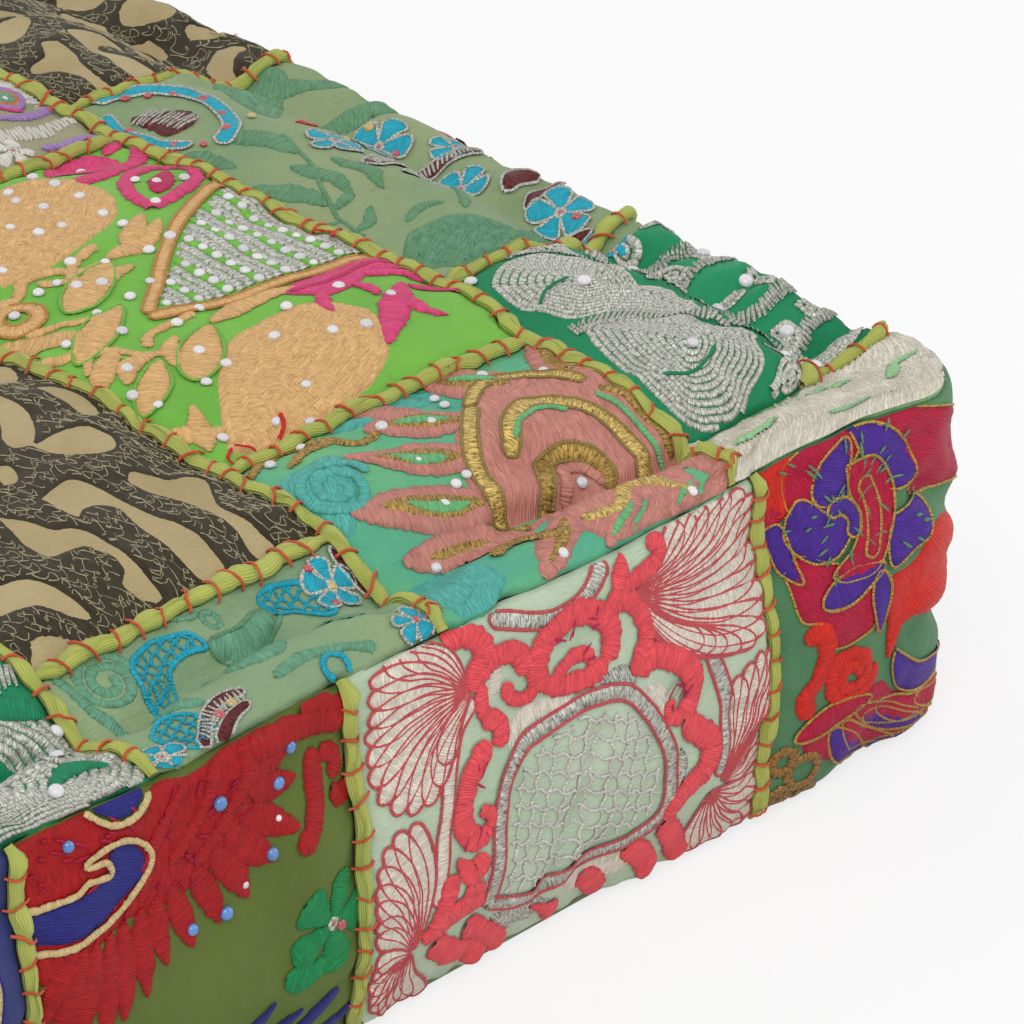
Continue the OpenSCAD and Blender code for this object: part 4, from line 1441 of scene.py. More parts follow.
    def rows(self, yarn, edge, width, lift, spots):
        """Straight bands side by side inside an outline, with beads between them."""
        ring = spots[:, :2]
        low, high = ring.min(0), ring.max(0)
        y = np.arange(low[1], high[1], 1.0)
        for k, x in enumerate(np.arange(low[0] + width / 2, high[0], width)):
            line = np.stack([np.full(len(y), x), y], -1)
            line = line[inside(line, ring)]
            if len(line) < 4:
                continue
            beaded = k % 3 == 1
            self.strip(edge if beaded else yarn, line, width * 0.46, 0.5, lift, 4, 0.3)
            if beaded:
                self.beads("pearl", "", 2.0, lift + 0.5, line[2::6])


# Each design names its home patch and is drawn there in the chart's millimetres. A
# line holds the stitch, its yarn (and its outline's yarn after a stroke), its width
# (for fill and maze the way of the threads), its layer, and after the bar the places,
# with a radius each for ring and spiral. Semicolons part an area from its holes. A
# backslash carries a line over.
DESIGNS = {
    "jade_lotus": ("top_4a_jade_lotus", """
fill aqua 10 0|70 -160,82 -159.5,104 -159,110 -166,98 -170,78 -168
fill aqua 60 0|37 -176,44 -174,58 -176,58 -184,50 -196,40 -204,37 -196
fill aqua 80 0|40 -222,56 -222,62 -232,60 -249,42 -249
spiral aqua 3 2|48 -190 11
fill pink 70 0|84 -226,82 -208,88 -196,96 -186,106 -178,120 -173,138 -174,149 -184,153 -200,\
151 -226,118 -232
leaf pink 20 1|130 -182,120 -170,110 -157.5
leaf pink 19 1|142 -190,148 -176,152 -160
leaf pink 16 1|106 -186,92 -178,77 -170
leaf pink 15 1|94 -198,76 -190,59 -181
leaf pink 15 1|88 -213,66 -206,44 -199
leaf pink 14 1|88 -224,68 -220,48 -215
leaf pink 12 1|96 -178,88 -167,84 -160
leaf pink 10 1|150 -224,154 -208,152 -192
leaf bronze 10 2|126 -178,119 -169,113 -162
leaf bronze 9 2|144 -184,147 -176,150 -167
leaf bronze 8 2|102 -184,92 -178,82 -173
leaf bronze 8 2|89 -196,76 -190,66 -185
leaf bronze 8 2|82 -211,68 -206,53 -201
leaf bronze 6 2|76 -221,66 -219,56 -217
leaf jade 4.5 3|124 -174,119 -168,115 -164
leaf jade 3.5 3|98 -182,90 -177,84 -174
leaf jade 4.5 3|84 -195,77 -192,70 -187
leaf jade 4 3|78 -210,68 -207,60 -203
satin gold/moss 4.6 2|86 -226,86 -212,90 -200,98 -190,108 -181
satin gold/moss 4 2|108 -180,116 -175,126 -174,136 -180,143 -190
satin gold/moss 5 2|102 -202,110 -194,121 -190,130 -195,136 -204,137 -216,133 -226
satin bronze/moss 4.2 2|97 -226,103 -214,110 -208,118 -208,123 -214,122 -222
satin bronze 4 2|145 -194,149 -204,149 -220
satin jade 1.8 3|106 -199,113 -195,122 -194,128 -198
satin jade 2 3|141 -196,144 -206,143 -222
satin pink 4 3|106 -220,111 -213,118 -213,121 -220
satin bronze 3.4 1|37 -167,45 -163,55 -160,63 -165,70 -173,79 -174
leaf bronze 4 1|47 -172,58 -168,68 -170
leaf pink 15 0|74 -249,84 -240,96 -228
fill pink 60 0|98 -227,114 -226,132 -227,152 -226,152 -249,118 -249,102 -248,93 -238;108 -240,\
114 -234,117 -240,111 -247;134 -240,140 -233,143 -240,138 -248
leaf pink 10 1|100 -249,110 -239,120 -229
leaf pink 10 1|124 -249,132 -240,138 -229
leaf pink 12 0|146 -249,150 -238,152 -228
leaf bronze 6 1|78 -246,86 -238,94 -231
satin gold 4.5 2|96 -236,108 -238,118 -232,128 -236,134 -246
leaf jade 4 2|102 -247,108 -242,113 -238
leaf jade 3.5 2|126 -247,131 -242,136 -238
satin bronze 4 2|66 -232,76 -229,84 -232,90 -238
satin pink 5 1|62 -226,74 -224,86 -228
beads pearl 2.1 3|45 -167,60 -163,104 -160.5,106 -168,105 -173,81 -173,93 -180,124 -169,139 -178,\
71 -207,80 -203,85 -202,152 -206,113 -218,56 -220,84 -245,133 -245,76 -192
"""),
    "gold_lime": ("top_4b_gold_lime", """
fill peach 35 0|56 -42,60 -28,66 -14,78 0,92 9,108 9,117 -2,118 -16,110 -30,94 -38,74 -43
fill peach 20 0|44 -152,52 -140,66 -122,84 -109,104 -108,117 -116,119 -130,112 -143,96 -153,70 -157
fill peach 80 0|37 16,40 -4,50 -18,60 -14,62 2,74 12,92 17,60 19
leaf peach/lime 13 1|58 -69,72 -61,87 -53
leaf peach/lime 11 1|42 -92,56 -84,71 -76
leaf peach/lime 13 1|58 -121,70 -111,82 -101
leaf peach/lime 10 1|38 -124,48 -116,58 -107
leaf peach 9 1|36 -62,44 -74,54 -84
leaf peach 8 1|36 -106,46 -99,54 -94
leaf peach 9 1|37 -36,45 -46,56 -50
leaf peach 8 1|84 -99,100 -97,116 -100
leaf peach 8 1|88 -50,102 -50,114 -44
leaf peach 7 1|37 -134,44 -140,52 -142
satin peach 4 1|55 -50,62 -44,72 -46,78 -52,86 -52
satin peach 3.4 1|60 -100,66 -94,76 -93,84 -92
satin peach 3.2 1|44 -66,50 -70,58 -76,66 -78
satin peach 3.2 1|36 -80,44 -86,50 -82,48 -76
leaf peach 7 1|72 -66,80 -60,90 -60
leaf peach 8 1|96 -50,104 -44,113 -37
leaf peach 6 1|60 -112,64 -105,70 -100
leaf peach 7 1|40 -148,46 -138,50 -130
satin peach 3.4 1|70 -57,78 -47,90 -43
leaf peach 6 1|44 -110,50 -104,60 -104
ring peach/amber 4.6 1|48 -58 6
leaf peach 8 1|37 -24,42 -32,48 -36
satin peach/amber 3.6 1|73 -85,88 -72,104 -58,126 -43,151 -29
satin peach/amber 3.6 1|72 -87,92 -91,112 -94,152 -96
rows silver/lime 3.4 0|151 -33,151 -93,110 -91,76 -86,104 -62,126 -46
shells peach 5.6 1|58 -41,62 -28,68 -14,80 -1,92 7,108 7,115 -2,116 -16,108 -29,94 -36,74 -41,98 -12
shells peach 5.6 1|48 -151,54 -140,68 -122,84 -111,104 -110,115 -117,117 -130,110 -142,96 -151,\
70 -155,95 -130
satin peach 3 1|40 -98,46 -92,52 -94,56 -102,64 -106
satin peach 3 1|66 -62,70 -54,64 -48
thread scarlet 1 5|45 -151,41 -154,43 -159,49 -158,51 -153,47 -150
thread scarlet 1.3 5|151 -70,148 -74,150 -78,147 -82
thread scarlet 1.3 5|60 -154,64 -152,66 -148
fill hot 30 1|119 2,128 -2,138 1,142 9,137 17,124 17.5,117 11
satin hot 6 1|116 -5,130 -5,145 2,153 10
loop hot 4.6 1|118 -36,120 -24,128 -13,140 -9,150 -12,146 -24,132 -32
leaf rose 8 1|126 -29,134 -22,142 -15
leaf hot 6 1|142 12,148 16,152 18
fill hot 20 1|108 -98,124 -97,153 -98,153 -110,140 -107,128 -111,117 -111
satin rose 3 2|112 -102,126 -104,140 -102,152 -105
leaf hot 4.6 1|118 -108,114 -114,111 -121
leaf hot 4.6 1|128 -110,130 -116,128 -121
satin hot 4 1|136 -106,146 -112,154 -118
leaf hot 10 1|142 -117,130 -127,111 -143
leaf hot 6.5 1|143 -118,150 -128,156 -138
leaf hot 5 1|134 -122,134 -134,138 -141
beads pearl 2.2 3|110 8,98 5,95 -2,110 -2,98 -11,110 -13,82 -15,85 -24,93 -25,106 -28,105 -38,\
62 -35,79 -45,86 -52,68 -52,61 -52,70 -58,76 -62,87 -70,77 -73,63 -75,48 -57,38 -77,46 -82,61 -88,\
76 -94,87 -91,100 -55,109 -54,48 -105
beads pearl 2.2 3|42 -114,38 -112,43 -124,70 -110,71 -120,60 -124,92 -117,103 -129,112 -133,\
105 -108,80 -143,71 -155,64 -149,48 -145,128 8,128 -17,131 -23,141 -24,121 -34,131 -123,124 -109,\
151 -110,46 -6,54 6,44 12,66 14,70 2
"""),
    "emerald_paisley": ("top_5b_silver_paisley", """
shells silver 2 0|162 -134,170 -129,180 -131,188 -139,194 -149,198 -160,202 -171,203 -180,\
194 -180,184 -175,174 -169,166 -163,162 -154,160 -144,180 -156
shells silver 2 0|166 -169,176 -173,188 -181,198 -189,205 -198,206 -205,198 -210,188 -214,\
178 -220,168 -218,161 -212,159 -200,160 -186,162 -176,183 -194
satin emerald 1.1 2|164 -152,170 -149,178 -150
satin emerald 1.1 2|166 -199,178 -202,188 -199
ribs silver 5 1|164 -168,178 -173,192 -181,203 -189,209 -200
ribs silver 5.5 1|178 -125,186 -131,197 -138,203 -148,204 -158
ribs silver 6 1|206 -134,214 -128,226 -139,238 -140,248 -144
ribs silver 6 1|207 -152,214 -158,226 -153,238 -154,248 -158
ribs silver 6 1|210 -166,216 -174,228 -181,240 -180,248 -184
ribs silver 5.5 1|212 -184,217 -190,224 -198,236 -196,248 -200
shells silver 2.2 1|227 -140,231 -146,230 -152,225 -150,224 -143,228 -147
shells silver 2.2 1|238 -143,243 -149,240 -156,236 -150,240 -149
shells silver 2.2 1|221 -166,230 -168,233 -171,226 -174,221 -171,226 -170
shells silver 2.2 1|238 -165,244 -168,243 -176,238 -176,241 -171
shells silver 2.2 1|225 -188,231 -190,230 -198,224 -199,227 -193
shells silver 2.2 1|238 -186,244 -189,242 -196,237 -194,241 -191
shells silver 2.2 1|224 -204,238 -205,244 -210,232 -215,222 -212,228 -210
shells silver 2.2 1|209 -200,217 -197,222 -203,219 -214,211 -216,208 -208,215 -207
shells silver 2 1|180 -123,187 -124,190 -129,184 -131,179 -128,185 -127
shells silver 2 1|192 -124,197 -125,197 -138,193 -136,195 -130
shells silver 2.4 1|194 -216,204 -212,214 -215,210 -219,196 -219,204 -216
shells silver 2.4 1|222 -122.6,230 -122.6,230 -132,223 -132,226 -127
satin silver 2.6 1|234 -126,246 -128,249 -134
flower turquoise 5 2|226 -124
beads pearl 2.7 4|179 -155,168 -124.6,183 -195,216 -204,222 -213,226 -125,205 -150,236 -168,\
160 -128,212 -178,240 -148,228 -193
"""),
    "silver_corner": ("top_2a_silver_paisley", """
shells silver 2.5 0|-165 -249,-120 -249,-74 -249,-73 -226,-78 -208,-96 -197,-116 -201,-130 -214,\
-148 -220,-165 -218,-118 -228
shells silver 2.5 0|-156 -192,-130 -190,-112 -178,-98 -186,-80 -192,-74 -172,-82 -148,-104 -130,\
-134 -126,-158 -142,-112 -154
shells silver 2.5 0|-165 -214,-150 -214,-138 -206,-150 -198,-165 -196,-150 -206
leaf emerald 7 2|-92 -203,-84 -206,-77 -211
leaf emerald 6.5 2|-110 -222,-101 -218,-92 -221
leaf emerald 6 2|-98 -238,-88 -236,-80 -239
satin emerald 1.4 2|-160 -228,-144 -230,-130 -224,-116 -212,-98 -206
ribs silver 7 2|-158 -222,-138 -222,-122 -210,-104 -200,-82 -198
ribs silver 7 1|-120 -184,-106 -190,-90 -196,-76 -198
ring silver 3 2|-146 -134 5,-92 -174 5,-86 -228 5
beads pearl 2.6 3|-76 -215,-98 -241,-112 -152,-86 -228,-134 -230,-146 -164,-92 -174
"""),
    "sage_blossom": ("top_5c_sage_blossom", """
fill fern 40 0|196 -4,192 10,196 24,208 38,222 43.5,236 43,232 30,218 18,206 4
satin fern 8 0|226 30,238 20,249 16
fill fern 30 0|158 -100,168 -94,182 -94,198 -100,212 -110,219 -119,200 -120,172 -120,160 -114
fill fern 60 0|214 12,226 4,240 0,249 4,249 -10,234 -10,220 -4
leaf fern 8 0|157 -6,161 -14,162 -24
leaf fern 10 0|172 -8,178 -18,180 -32
leaf fern 9 0|158 -36,163 -48,164 -62
leaf fern 8 0|173 -36,176 -48,175 -62
leaf fern 7 0|186 -40,188 -52,185 -64
satin fern 1.4 0|159 -84,162 -70,168 -56,178 -40,184 -20
leaf fern 4.4 0|160 -79,166 -78,172 -72
leaf fern 4.4 0|161 -71,156 -65,155 -57
leaf fern 4.4 0|164 -65,170 -64,176 -59
leaf fern 4 0|172 -88,180 -85,187 -88
leaf fern 4 0|190 -93,196 -86,198 -78
net teal 4.4 1|160 -101,169 -96,182 -96,198 -103,210 -114,186 -118,162 -114
satin teal 1.6 1|162 -108,178 -105,196 -111,207 -118
leaf teal 5 1|198 8,204 18,212 30
satin turquoise/silver 5.4 1|162 41,172 40,180 33,184 22,184 8,178 -4,168 -10
satin turquoise/silver 4 1|160 34,157 22,158 8,162 -4
drop maroon 15 1|164 26,168 16,170 6
ribs silver 9 2|166 24,169 16,171 8
flower turquoise/silver 10.5 1|226 -20,232 -94
flower turquoise/silver 9 1|196 -30,224 -58,240 -40
satin maroon/silver 6.6 1|191 -51,203 -46,216 -42,230 -43,246 -48
ribs silver 5 2|194 -50,206 -45,220 -41,240 -45
leaf maroon/silver 6 1|198 -60,206 -57,214 -60
leaf maroon/silver 7 1|228 -74,236 -72,246 -76
leaf maroon/silver 6 1|227 -84,236 -82,244 -86
leaf maroon/silver 6 1|216 -106,224 -104,232 -108
satin turquoise 4 1|226 -108,234 -112,246 -110
leaf scarlet 4 1|200 -9,204 -8,208 -10
beads ruby 1.8 3|171 37,176 32,181 26,184 16,182 5,175 -5,164 -7,160 2,159 22,227 -27,203 -8,\
233 -100
beads nugget 2.1 3|229 -12,188 -2,206 -24
"""),
    "beige_scroll": ("top_3b_beige_scroll", """
maze bark/cream 90 0|-72 -197,-72 -60,36 -60,36 -197;13 -88,13 -101,9 -110,1 -119,-4 -118,-3 -112,\
3 -104,8 -94;0 -121,10 -120,18 -122,20 -129,17 -134,11 -134,5 -130,1 -126;-19 -131,-15 -123,\
-12 -124,-13 -129,-16 -132;-17 -144,-11 -142,-5 -141,-2 -145,-1 -151,0 -168,2 -178,1 -190,-1 -197,\
-7 -197,-7 -180,-6 -167,-4 -159,-8 -155,-13 -155,-17 -157;-31 -143,-28 -150,-26 -158,-21 -162,\
-19 -170,-20 -186,-21 -195,-25 -193,-28 -188,-23 -183,-22 -175,-24 -169,-30 -168,-35 -167,\
-35 -159,-33 -150;8 -150,12 -147,15 -151,18 -156,24 -156,27 -160,22 -168,18 -176,19 -187,19 -196,\
13 -197,14 -181,13 -170,9 -160;-53 -168,-47 -171,-44 -177,-43 -186,-43 -192,-46 -190,-50 -183,\
-56 -179,-61 -177;-67 -197,-62 -191,-57 -192,-53 -197;-63 -85,-50 -80,-45 -90,-50 -103,-60 -100;\
-36 -71,-24 -69,-19 -80,-26 -94,-35 -88;-9 -69,5 -71,4 -82,-6 -95,-13 -84;-68 -118,-57 -113,\
-48 -122,-55 -135,-66 -132;-41 -104,-30 -106,-26 -116,-37 -124,-43 -116;-69 -149,-60 -145,\
-54 -153,-62 -162;18 -67,30 -70,29 -80,20 -82;-47 -137,-38 -132,-38 -144,-45 -150;24 -92,30 -98,\
30 -112,25 -114
"""),
    "sage_lattice": ("top_3a_sage_lattice", """
spiral teal 3 0|-53 -209 9
satin teal 4 0|-64 -201,-63 -212,-59 -222,-50 -228,-42 -234
leaf teal/fern 9 0|-22 -213,-11 -217,1 -210
satin teal 1.8 0|-30 -220,-18 -221,-6 -219,4 -213
ring teal 2 0|-20 -202 3,-15 -207 2.4,-40 -216 2.4
leaf teal 6 0|-26 -226,-14 -230,-4 -226
satin teal 5 0|-22 -240,-10 -238,2 -240,12 -246
leaf teal 7 0|4 -226,16 -230,26 -226
loop turquoise 1.4 1|-47 -217,-44 -208,-34 -205,-25 -208,-23 -213,-30 -212,-36 -214,-38 -221,\
-45 -224
net turquoise 3 1|-47 -217,-44 -208,-34 -205,-25 -208,-23 -213,-30 -212,-36 -214,-38 -221,-45 -224
loop turquoise 1.4 1|2 -213,4 -206,11 -205,17 -209,19 -220,14 -219,9 -214
net turquoise 3 1|2 -213,4 -206,11 -205,17 -209,19 -220,14 -219,9 -214
loop turquoise 1.3 1|-61 -234,-54 -231,-48 -235,-48 -246,-58 -247
net turquoise 3 1|-61 -234,-54 -231,-48 -235,-48 -246,-58 -247
flower turquoise/silver 8.5 1|24 -212
flower turquoise/silver 8 1|28 -243
flower turquoise/silver 7 1|-66 -246
satin maroon/silver 4 1|-55 -249,-48 -241,-40 -237,-32 -238
satin maroon/silver 4 1|-50 -250,-42 -245,-34 -243
ribs silver 5 2|-52 -246,-44 -240,-34 -239
leaf maroon/silver 5 1|32 -203,33 -210,33 -218
ring turquoise 2.4 1|-2 -246 4
beads ruby 1.8 3|20 -206,21 -217,-44 -242
beads nugget 1.8 3|24 -212,-38 -240
"""),
    "linen_lace": ("top_4c_linen_lace", """
ribs lace 7 0|38 30,60 32,84 34,112 36,150 38
ribs lace 6 0|38 42,60 44,90 46,118 46
flower lace 7 1|48 28,66 40,84 27,102 40,118 28
satin lilac 3.6 1|120 49,134 46,152 48
satin lilac 3.6 1|128 26,142 24,152 22
ribs lace 9 0|152 52,150 62,146 74,138 84
drop orange 16 1|132 70,138 62,142 54
drop teal 9 2|134 68,138 62,141 56
ring lilac 2.6 2|139 60 7
satin hot 2.4 1|126 66,132 56,140 50
ribs lace 7 0|38 60,60 58,84 62,110 64,124 74
flower lace 8 1|52 74,74 78,96 76
satin lilac 4 0|38 90,66 88,94 92,124 94,151 96
ribs lace 7 0|38 100,66 98,94 102,124 104,151 106
flower lace 8 1|52 114,78 116,104 118,132 120
drop orange 14 1|122 84,132 80,142 84
leaf teal 5 1|44 50,54 50,64 52
beads pearl 1.9 3|48 28,66 40,84 27,102 40,52 74,74 78,96 76,139 58
beads nugget 2 3|139 62,132 83
"""),
    "white_band": ("top_5a_white_band", """
ribs white 8 1|154 -223,178 -222,204 -223.5,228 -222,249 -223
ribs white 8 1|154 -231,180 -232,206 -230,230 -232,249 -231
ribs white 7 1|154 -239,178 -240,204 -239,228 -240.5,249 -239
ribs white 7 1|154 -247,180 -246.5,206 -247.5,230 -246,249 -247
fill white 90 0|152 -219,175 -219.5,190 -223,206 -219.5,222 -222,249 -219,249 -250,152 -250;\
158 -236,166 -238,176 -235,166 -234;196 -227,206 -225,220 -228,208 -230
leaf mint 3.4 3|158 -236,166 -237,176 -235
leaf mint 3.4 3|198 -227,208 -226,220 -228
leaf mint 3 3|192 -243,200 -243.5,210 -243
leaf mint 3 3|224 -236,234 -237,244 -236
"""),
    "coral_medallion": ("side_front_coral_medallion", """
satin silver/coralline 4.6 0|47 11,58 16,70 19,80 18,90 10.5
satin ivory/coralline 4.6 0|38 31,31 38,27 50,24 66,22 86
satin silver/coralline 4.6 0|100 25,110 33,120 44,127 56,131 70,131 84,128 92
fan ivory/coralline 7.8 0|37 28,22 10.5,12 10.5,5 14,4 22,3 30,2 38,3 46,8 52,15 54,21 52,26 45
fan ivory/coralline 8 0|98 25,118 10,130 10,140 11,149 13,151 22,152 32,152 43,148 53,139 55,\
130 52,121 47
fan ivory/coralline 7.4 0|130 94,135 63,142 60,149 61,152 70,152 82,152 96
fan ivory/coralline 7.4 0|126 97,152 102,152 112,147 120,138 123,126 122
fan ivory/coralline 7.4 0|15 97,14 57,7 58,3 66,2 76,2 88
fan ivory/coralline 7.4 0|14 99,2 97,2 108,6 118,14 122,24 121
fill ivory 90 0|50 45,56 40,64 41,72 43,72 46,58 47,50 51
fill silver 80 0|80 42,90 41,96 46,94 49,84 45
fill ivory 60 0|98 49,106 54,110 62,108 68,102 60
fill silver 90 0|34 82,40 78,44 84,44 95,38 92
fill ivory 0 0|46 24,50 26,49 34,44 32
fill silver 20 0|112 74,116 82,112 92,109 92
fill silver 60 0|44 102,60 104,70 110,62 116,50 112
fill ivory 90 0|72 104,94 103,100 110,92 118,80 114
loop silver/coralline 4.4 1|43 97,44 76,47 60,54 51,64 48,78 46,90 49,98 57,106 70,109 84,107 95,\
96 99,78 101,60 102
net lace 5.2 0|47 96,48 76,51 62,57 54,66 51,78 50,88 53,96 60,103 72,105 85,103 93,80 97,60 98
satin coral 7.5 2|31 12,38 12,43 18,40 25,38 29
satin coral 7 2|39 27,45 23,53 23,57 27,56 31
satin coral 4.6 2|51 31,51 35,55 38,61 37
satin coral 7.5 2|63 38,61 31,65 24,73 21,81 22,87 27,88 33,85 38
satin coral 6 2|63 37,70 39,78 40,85 38
satin coral 4.4 2|67 36,72 33,78 33,80 37
satin coral 6.6 2|83 26,89 24,95 24,100 30,101 37,97 43,93 45
satin coral 6 2|88 24,93 20,100 19,106 18,109 14,105 11
leaf coral 6 2|90 21,93 16,96 11
satin coral 8 2|96 46,103 44,110 47,116 53,118 61,113 67
satin coral 5 2|113 67,108 64,109 59
satin coral 8.4 2|113 68,120 74,125 80,122 87,114 92,108 98
satin coral 5.4 2|41 28,41 35,45 42
drop coral 7.5 2|43 37,47 41,46 48
satin coral 7.5 2|42 45,36 50,32 57,31 65,35 71,41 71
satin coral 4.4 2|41 70,41 66,37 63
drop coral 9 2|28 74,34 81,39 77
satin coral 7 2|27 78,25 86,22 93,18 97
satin coral 8.4 2|20 96,28 92,35 92,40 95
satin coral 4.6 2|31 89,35 86,39 90
satin coral 8.4 2|22 99,30 107,40 113,46 121
satin coral 7.5 2|34 100,43 107,50 114,54 122
drop coral 7 2|62 108,70 113,74 120
satin coral 8 2|82 107,88 114,92 122
satin coral 8 2|95 102,102 108,107 115,109 122
satin coral 8 2|108 99,114 107,118 114,123 122
slits rose 0.8 4|62 22,86 22,86 36,62 36
slits rose 0.8 4|104 44,118 50,118 66,108 66
slits rose 0.8 4|30 50,42 48,40 72,30 72
"""),
    "red_wing": ("side_front_red_wing", """
fill red 80 0|-113 10,-92 9.6,-86 16,-75 17,-70 11,-56 12,-42 9.6,-28 11,-18 14,-24 20,-36 26,\
-46 34,-56 42,-70 45,-84 44,-96 47,-113 48
leaf red 7 1|-100 43,-108 54,-113 66
leaf red 7.5 1|-98 44,-103 58,-111 74
leaf red 8 1|-94 44,-98 58,-103 72
leaf red 8 1|-89 44,-92 60,-94 73
leaf red 8 1|-84 43,-86 58,-88 69
leaf red 7.5 1|-78 42,-80 56,-80 66
leaf red 7 1|-73 41,-74 52,-73 60
leaf red 7.5 1|-68 40,-66 50,-64 59
leaf red 8 1|-60 38,-57 48,-55 56
leaf red 8.5 1|-54 36,-49 45,-45 53
leaf red 10 1|-50 32,-43 40,-36 46
leaf red 9 1|-46 28,-38 34,-27 41
leaf red 9 1|-42 25,-34 27,-24 28
satin red 5 2|-41 11,-42 20,-50 30,-60 38
satin red 4 2|-50 12,-56 24,-68 34
satin red 4 2|-60 14,-72 26,-78 40
satin red 8 2|-40 14,-24 15,-10 18,-4 20
satin red 5 2|-22 9.8,-12 12,-4 16
satin red 7 1|-16 24,-19 34,-22 43,-28 48
satin red 6 1|-13 25,-9 30,-11 35
satin red 6 1|-13 37,-8 41,-4 38
slits crimson 0.9 3|-110 12,-60 14,-34 14,-36 28,-56 42,-84 42,-110 40
fill navy 20 3|-114 38,-113 31,-104 31,-96 31,-88 28,-86 22,-80 23,-76 28,-77 33,-84 37,-94 41,\
-104 41
satin straw 1.8 4|-114 41,-104 43,-94 42,-84 39,-76 33,-74 28,-78 23,-84 21,-92 22,-94 24,-88 25,\
-87 29,-94 28,-98 30,-106 30,-114 29
fill navy 0 3|-90 10,-74 10,-77 14,-83 15
satin straw 1.8 4|-92 10,-85 16,-78 16,-72 12
flower leaf 15 1|-17 74
drop leaf 9 1|-16 84,-26 86,-33 84
leaf navy 7 1|-58 108,-44 98,-36 90
leaf navy 7 1|-52 116,-38 106,-26 97
satin navy 5 1|-40 121,-26 108,-14 96
leaf navy 8 1|-30 121,-16 112,-4 108
leaf navy 6 1|-70 104,-62 98,-56 91
satin navy 3 1|-90 120,-74 112,-60 106
beads stone 2.3 5|-98 17,-64 54,-53 54,-37 44,-31 27,-26 19,-51 24
beads pearl 1.2 5|-46 49,-33 36
beads ruby 2 4|-14 76
"""),
    "crimson_rose": ("side_corner_crimson_rose", """
fill scarlet 80 0|154 10,168 10,166 18,164 27,155 28
fill crimson/gilt 60 0|164 12,172 9.8,190 9.8,188 18,176 24,166 28,163 20
fill crimson/gilt 30 0|196 9.8,210 9.8,224 15,238 25,250 36,252 52,246 60,234 48,220 41,208 37,\
205 28,200 16
fill crimson 10 0|153 20,163 22,163 28,154 30
fill crimson/gilt 40 0|161 44,166 40,176 45,190 52,192 62,190 70,176 71,172 62,164 58
fill purple/gilt 70 1|155 29,161 29,164 38,166 48,159 42
fill purple/gilt 20 1|173 20,178 14,187 12,185 22,184 30,176 30,172 25
fill purple/gilt 50 1|188 10,197 11,204 17,208 25,208 31,201 32,195 26,190 18
fill purple/gilt 120 1|163 28,168 24,175 28,183 30,187 35,180 43,172 44,166 40,162 34
satin purple/gilt 5 2|176 30,182 30,186 35,184 40
fill crimson/gilt 100 2|184 19,194 19,200 27,200 38,196 48,190 53,180 52,176 48,184 43,188 35,185 27
satin crimson/gilt 5 3|190 24,193 34,190 48
fill purple/gilt 10 2|200 39,210 38,214 43,213 50,206 52,198 54,197 47
leaf purple/gilt 10 2|171 56,182 54,195 52
leaf purple/gilt 8 2|193 53,194 62,193 72
fill scarlet 50 0|198 56,208 56,216 49,228 54,240 65,248 73,255 84,255 95,248 103,238 95,226 86,\
212 75,203 76,198 66
satin scarlet 7 1|165 65,171 64,173 70,171 78,166 84,168 91
spiral scarlet 4.6 1|183 82 9.5
satin scarlet 5 1|168 78,175 76,182 75
leaf scarlet 7 1|198 62,202 72,200 84
fill purple/gilt 40 1|203 82,210 88,220 95,236 103,228 107,214 103,205 96,202 89
fill crimson 60 0|164 95,180 92,196 90,205 98,222 107,236 109,234 121,200 122,182 113,169 105
leaf crimson/gilt 9 1|163 97,176 94,192 93
leaf crimson/gilt 8 1|186 95,200 104,216 112
leaf purple/gilt 8 1|190 99,203 108,219 117
leaf crimson/gilt 9 1|196 98,212 108,232 114
leaf crimson/gilt 8 1|182 98,192 110,210 120
leaf purple/gilt 10 1|177 99,186 110,200 121
leaf crimson/gilt 9 1|214 106,226 112,238 120
leaf purple/gilt 9 1|200 119,214 122,232 121
fill purple/gilt 60 1|257 56,262 50,271 49,273 58,268 63,260 64
fill crimson 10 0|272 50,284 58,289 68,287 84,280 70
fill purple/gilt 60 1|273 60,280 64,286 78,284 86,276 90,270 82,276 74
fill crimson/gilt 90 1|262 66,268 62,275 64,276 74,274 84,277 97,268 92,262 95,261 80
leaf purple/gilt 9 1|250 66,255 78,257 92
leaf purple/gilt 7 2|262 92,259 100,255 107
leaf purple/gilt 8 2|264 95,268 102,273 108
fill crimson/gilt 0 1|257 108,270 110,282 111,280 118,266 120,258 114
fill crimson 20 0|252 20,264 18,274 30,282 44,276 48,262 46,254 38
spiral scarlet 5 1|245 114 9
satin scarlet 6 1|258 121,266 117,274 119
ring brass 3.4 1|168 110 5.5,160 104 4,172 121 3.4
spiral brass 2.4 1|160 117 5
slits fern 0.8 4|162 12,206 12,212 50,176 50,162 40
slits fern 0.8 4|246 56,276 50,286 90,256 96
"""),
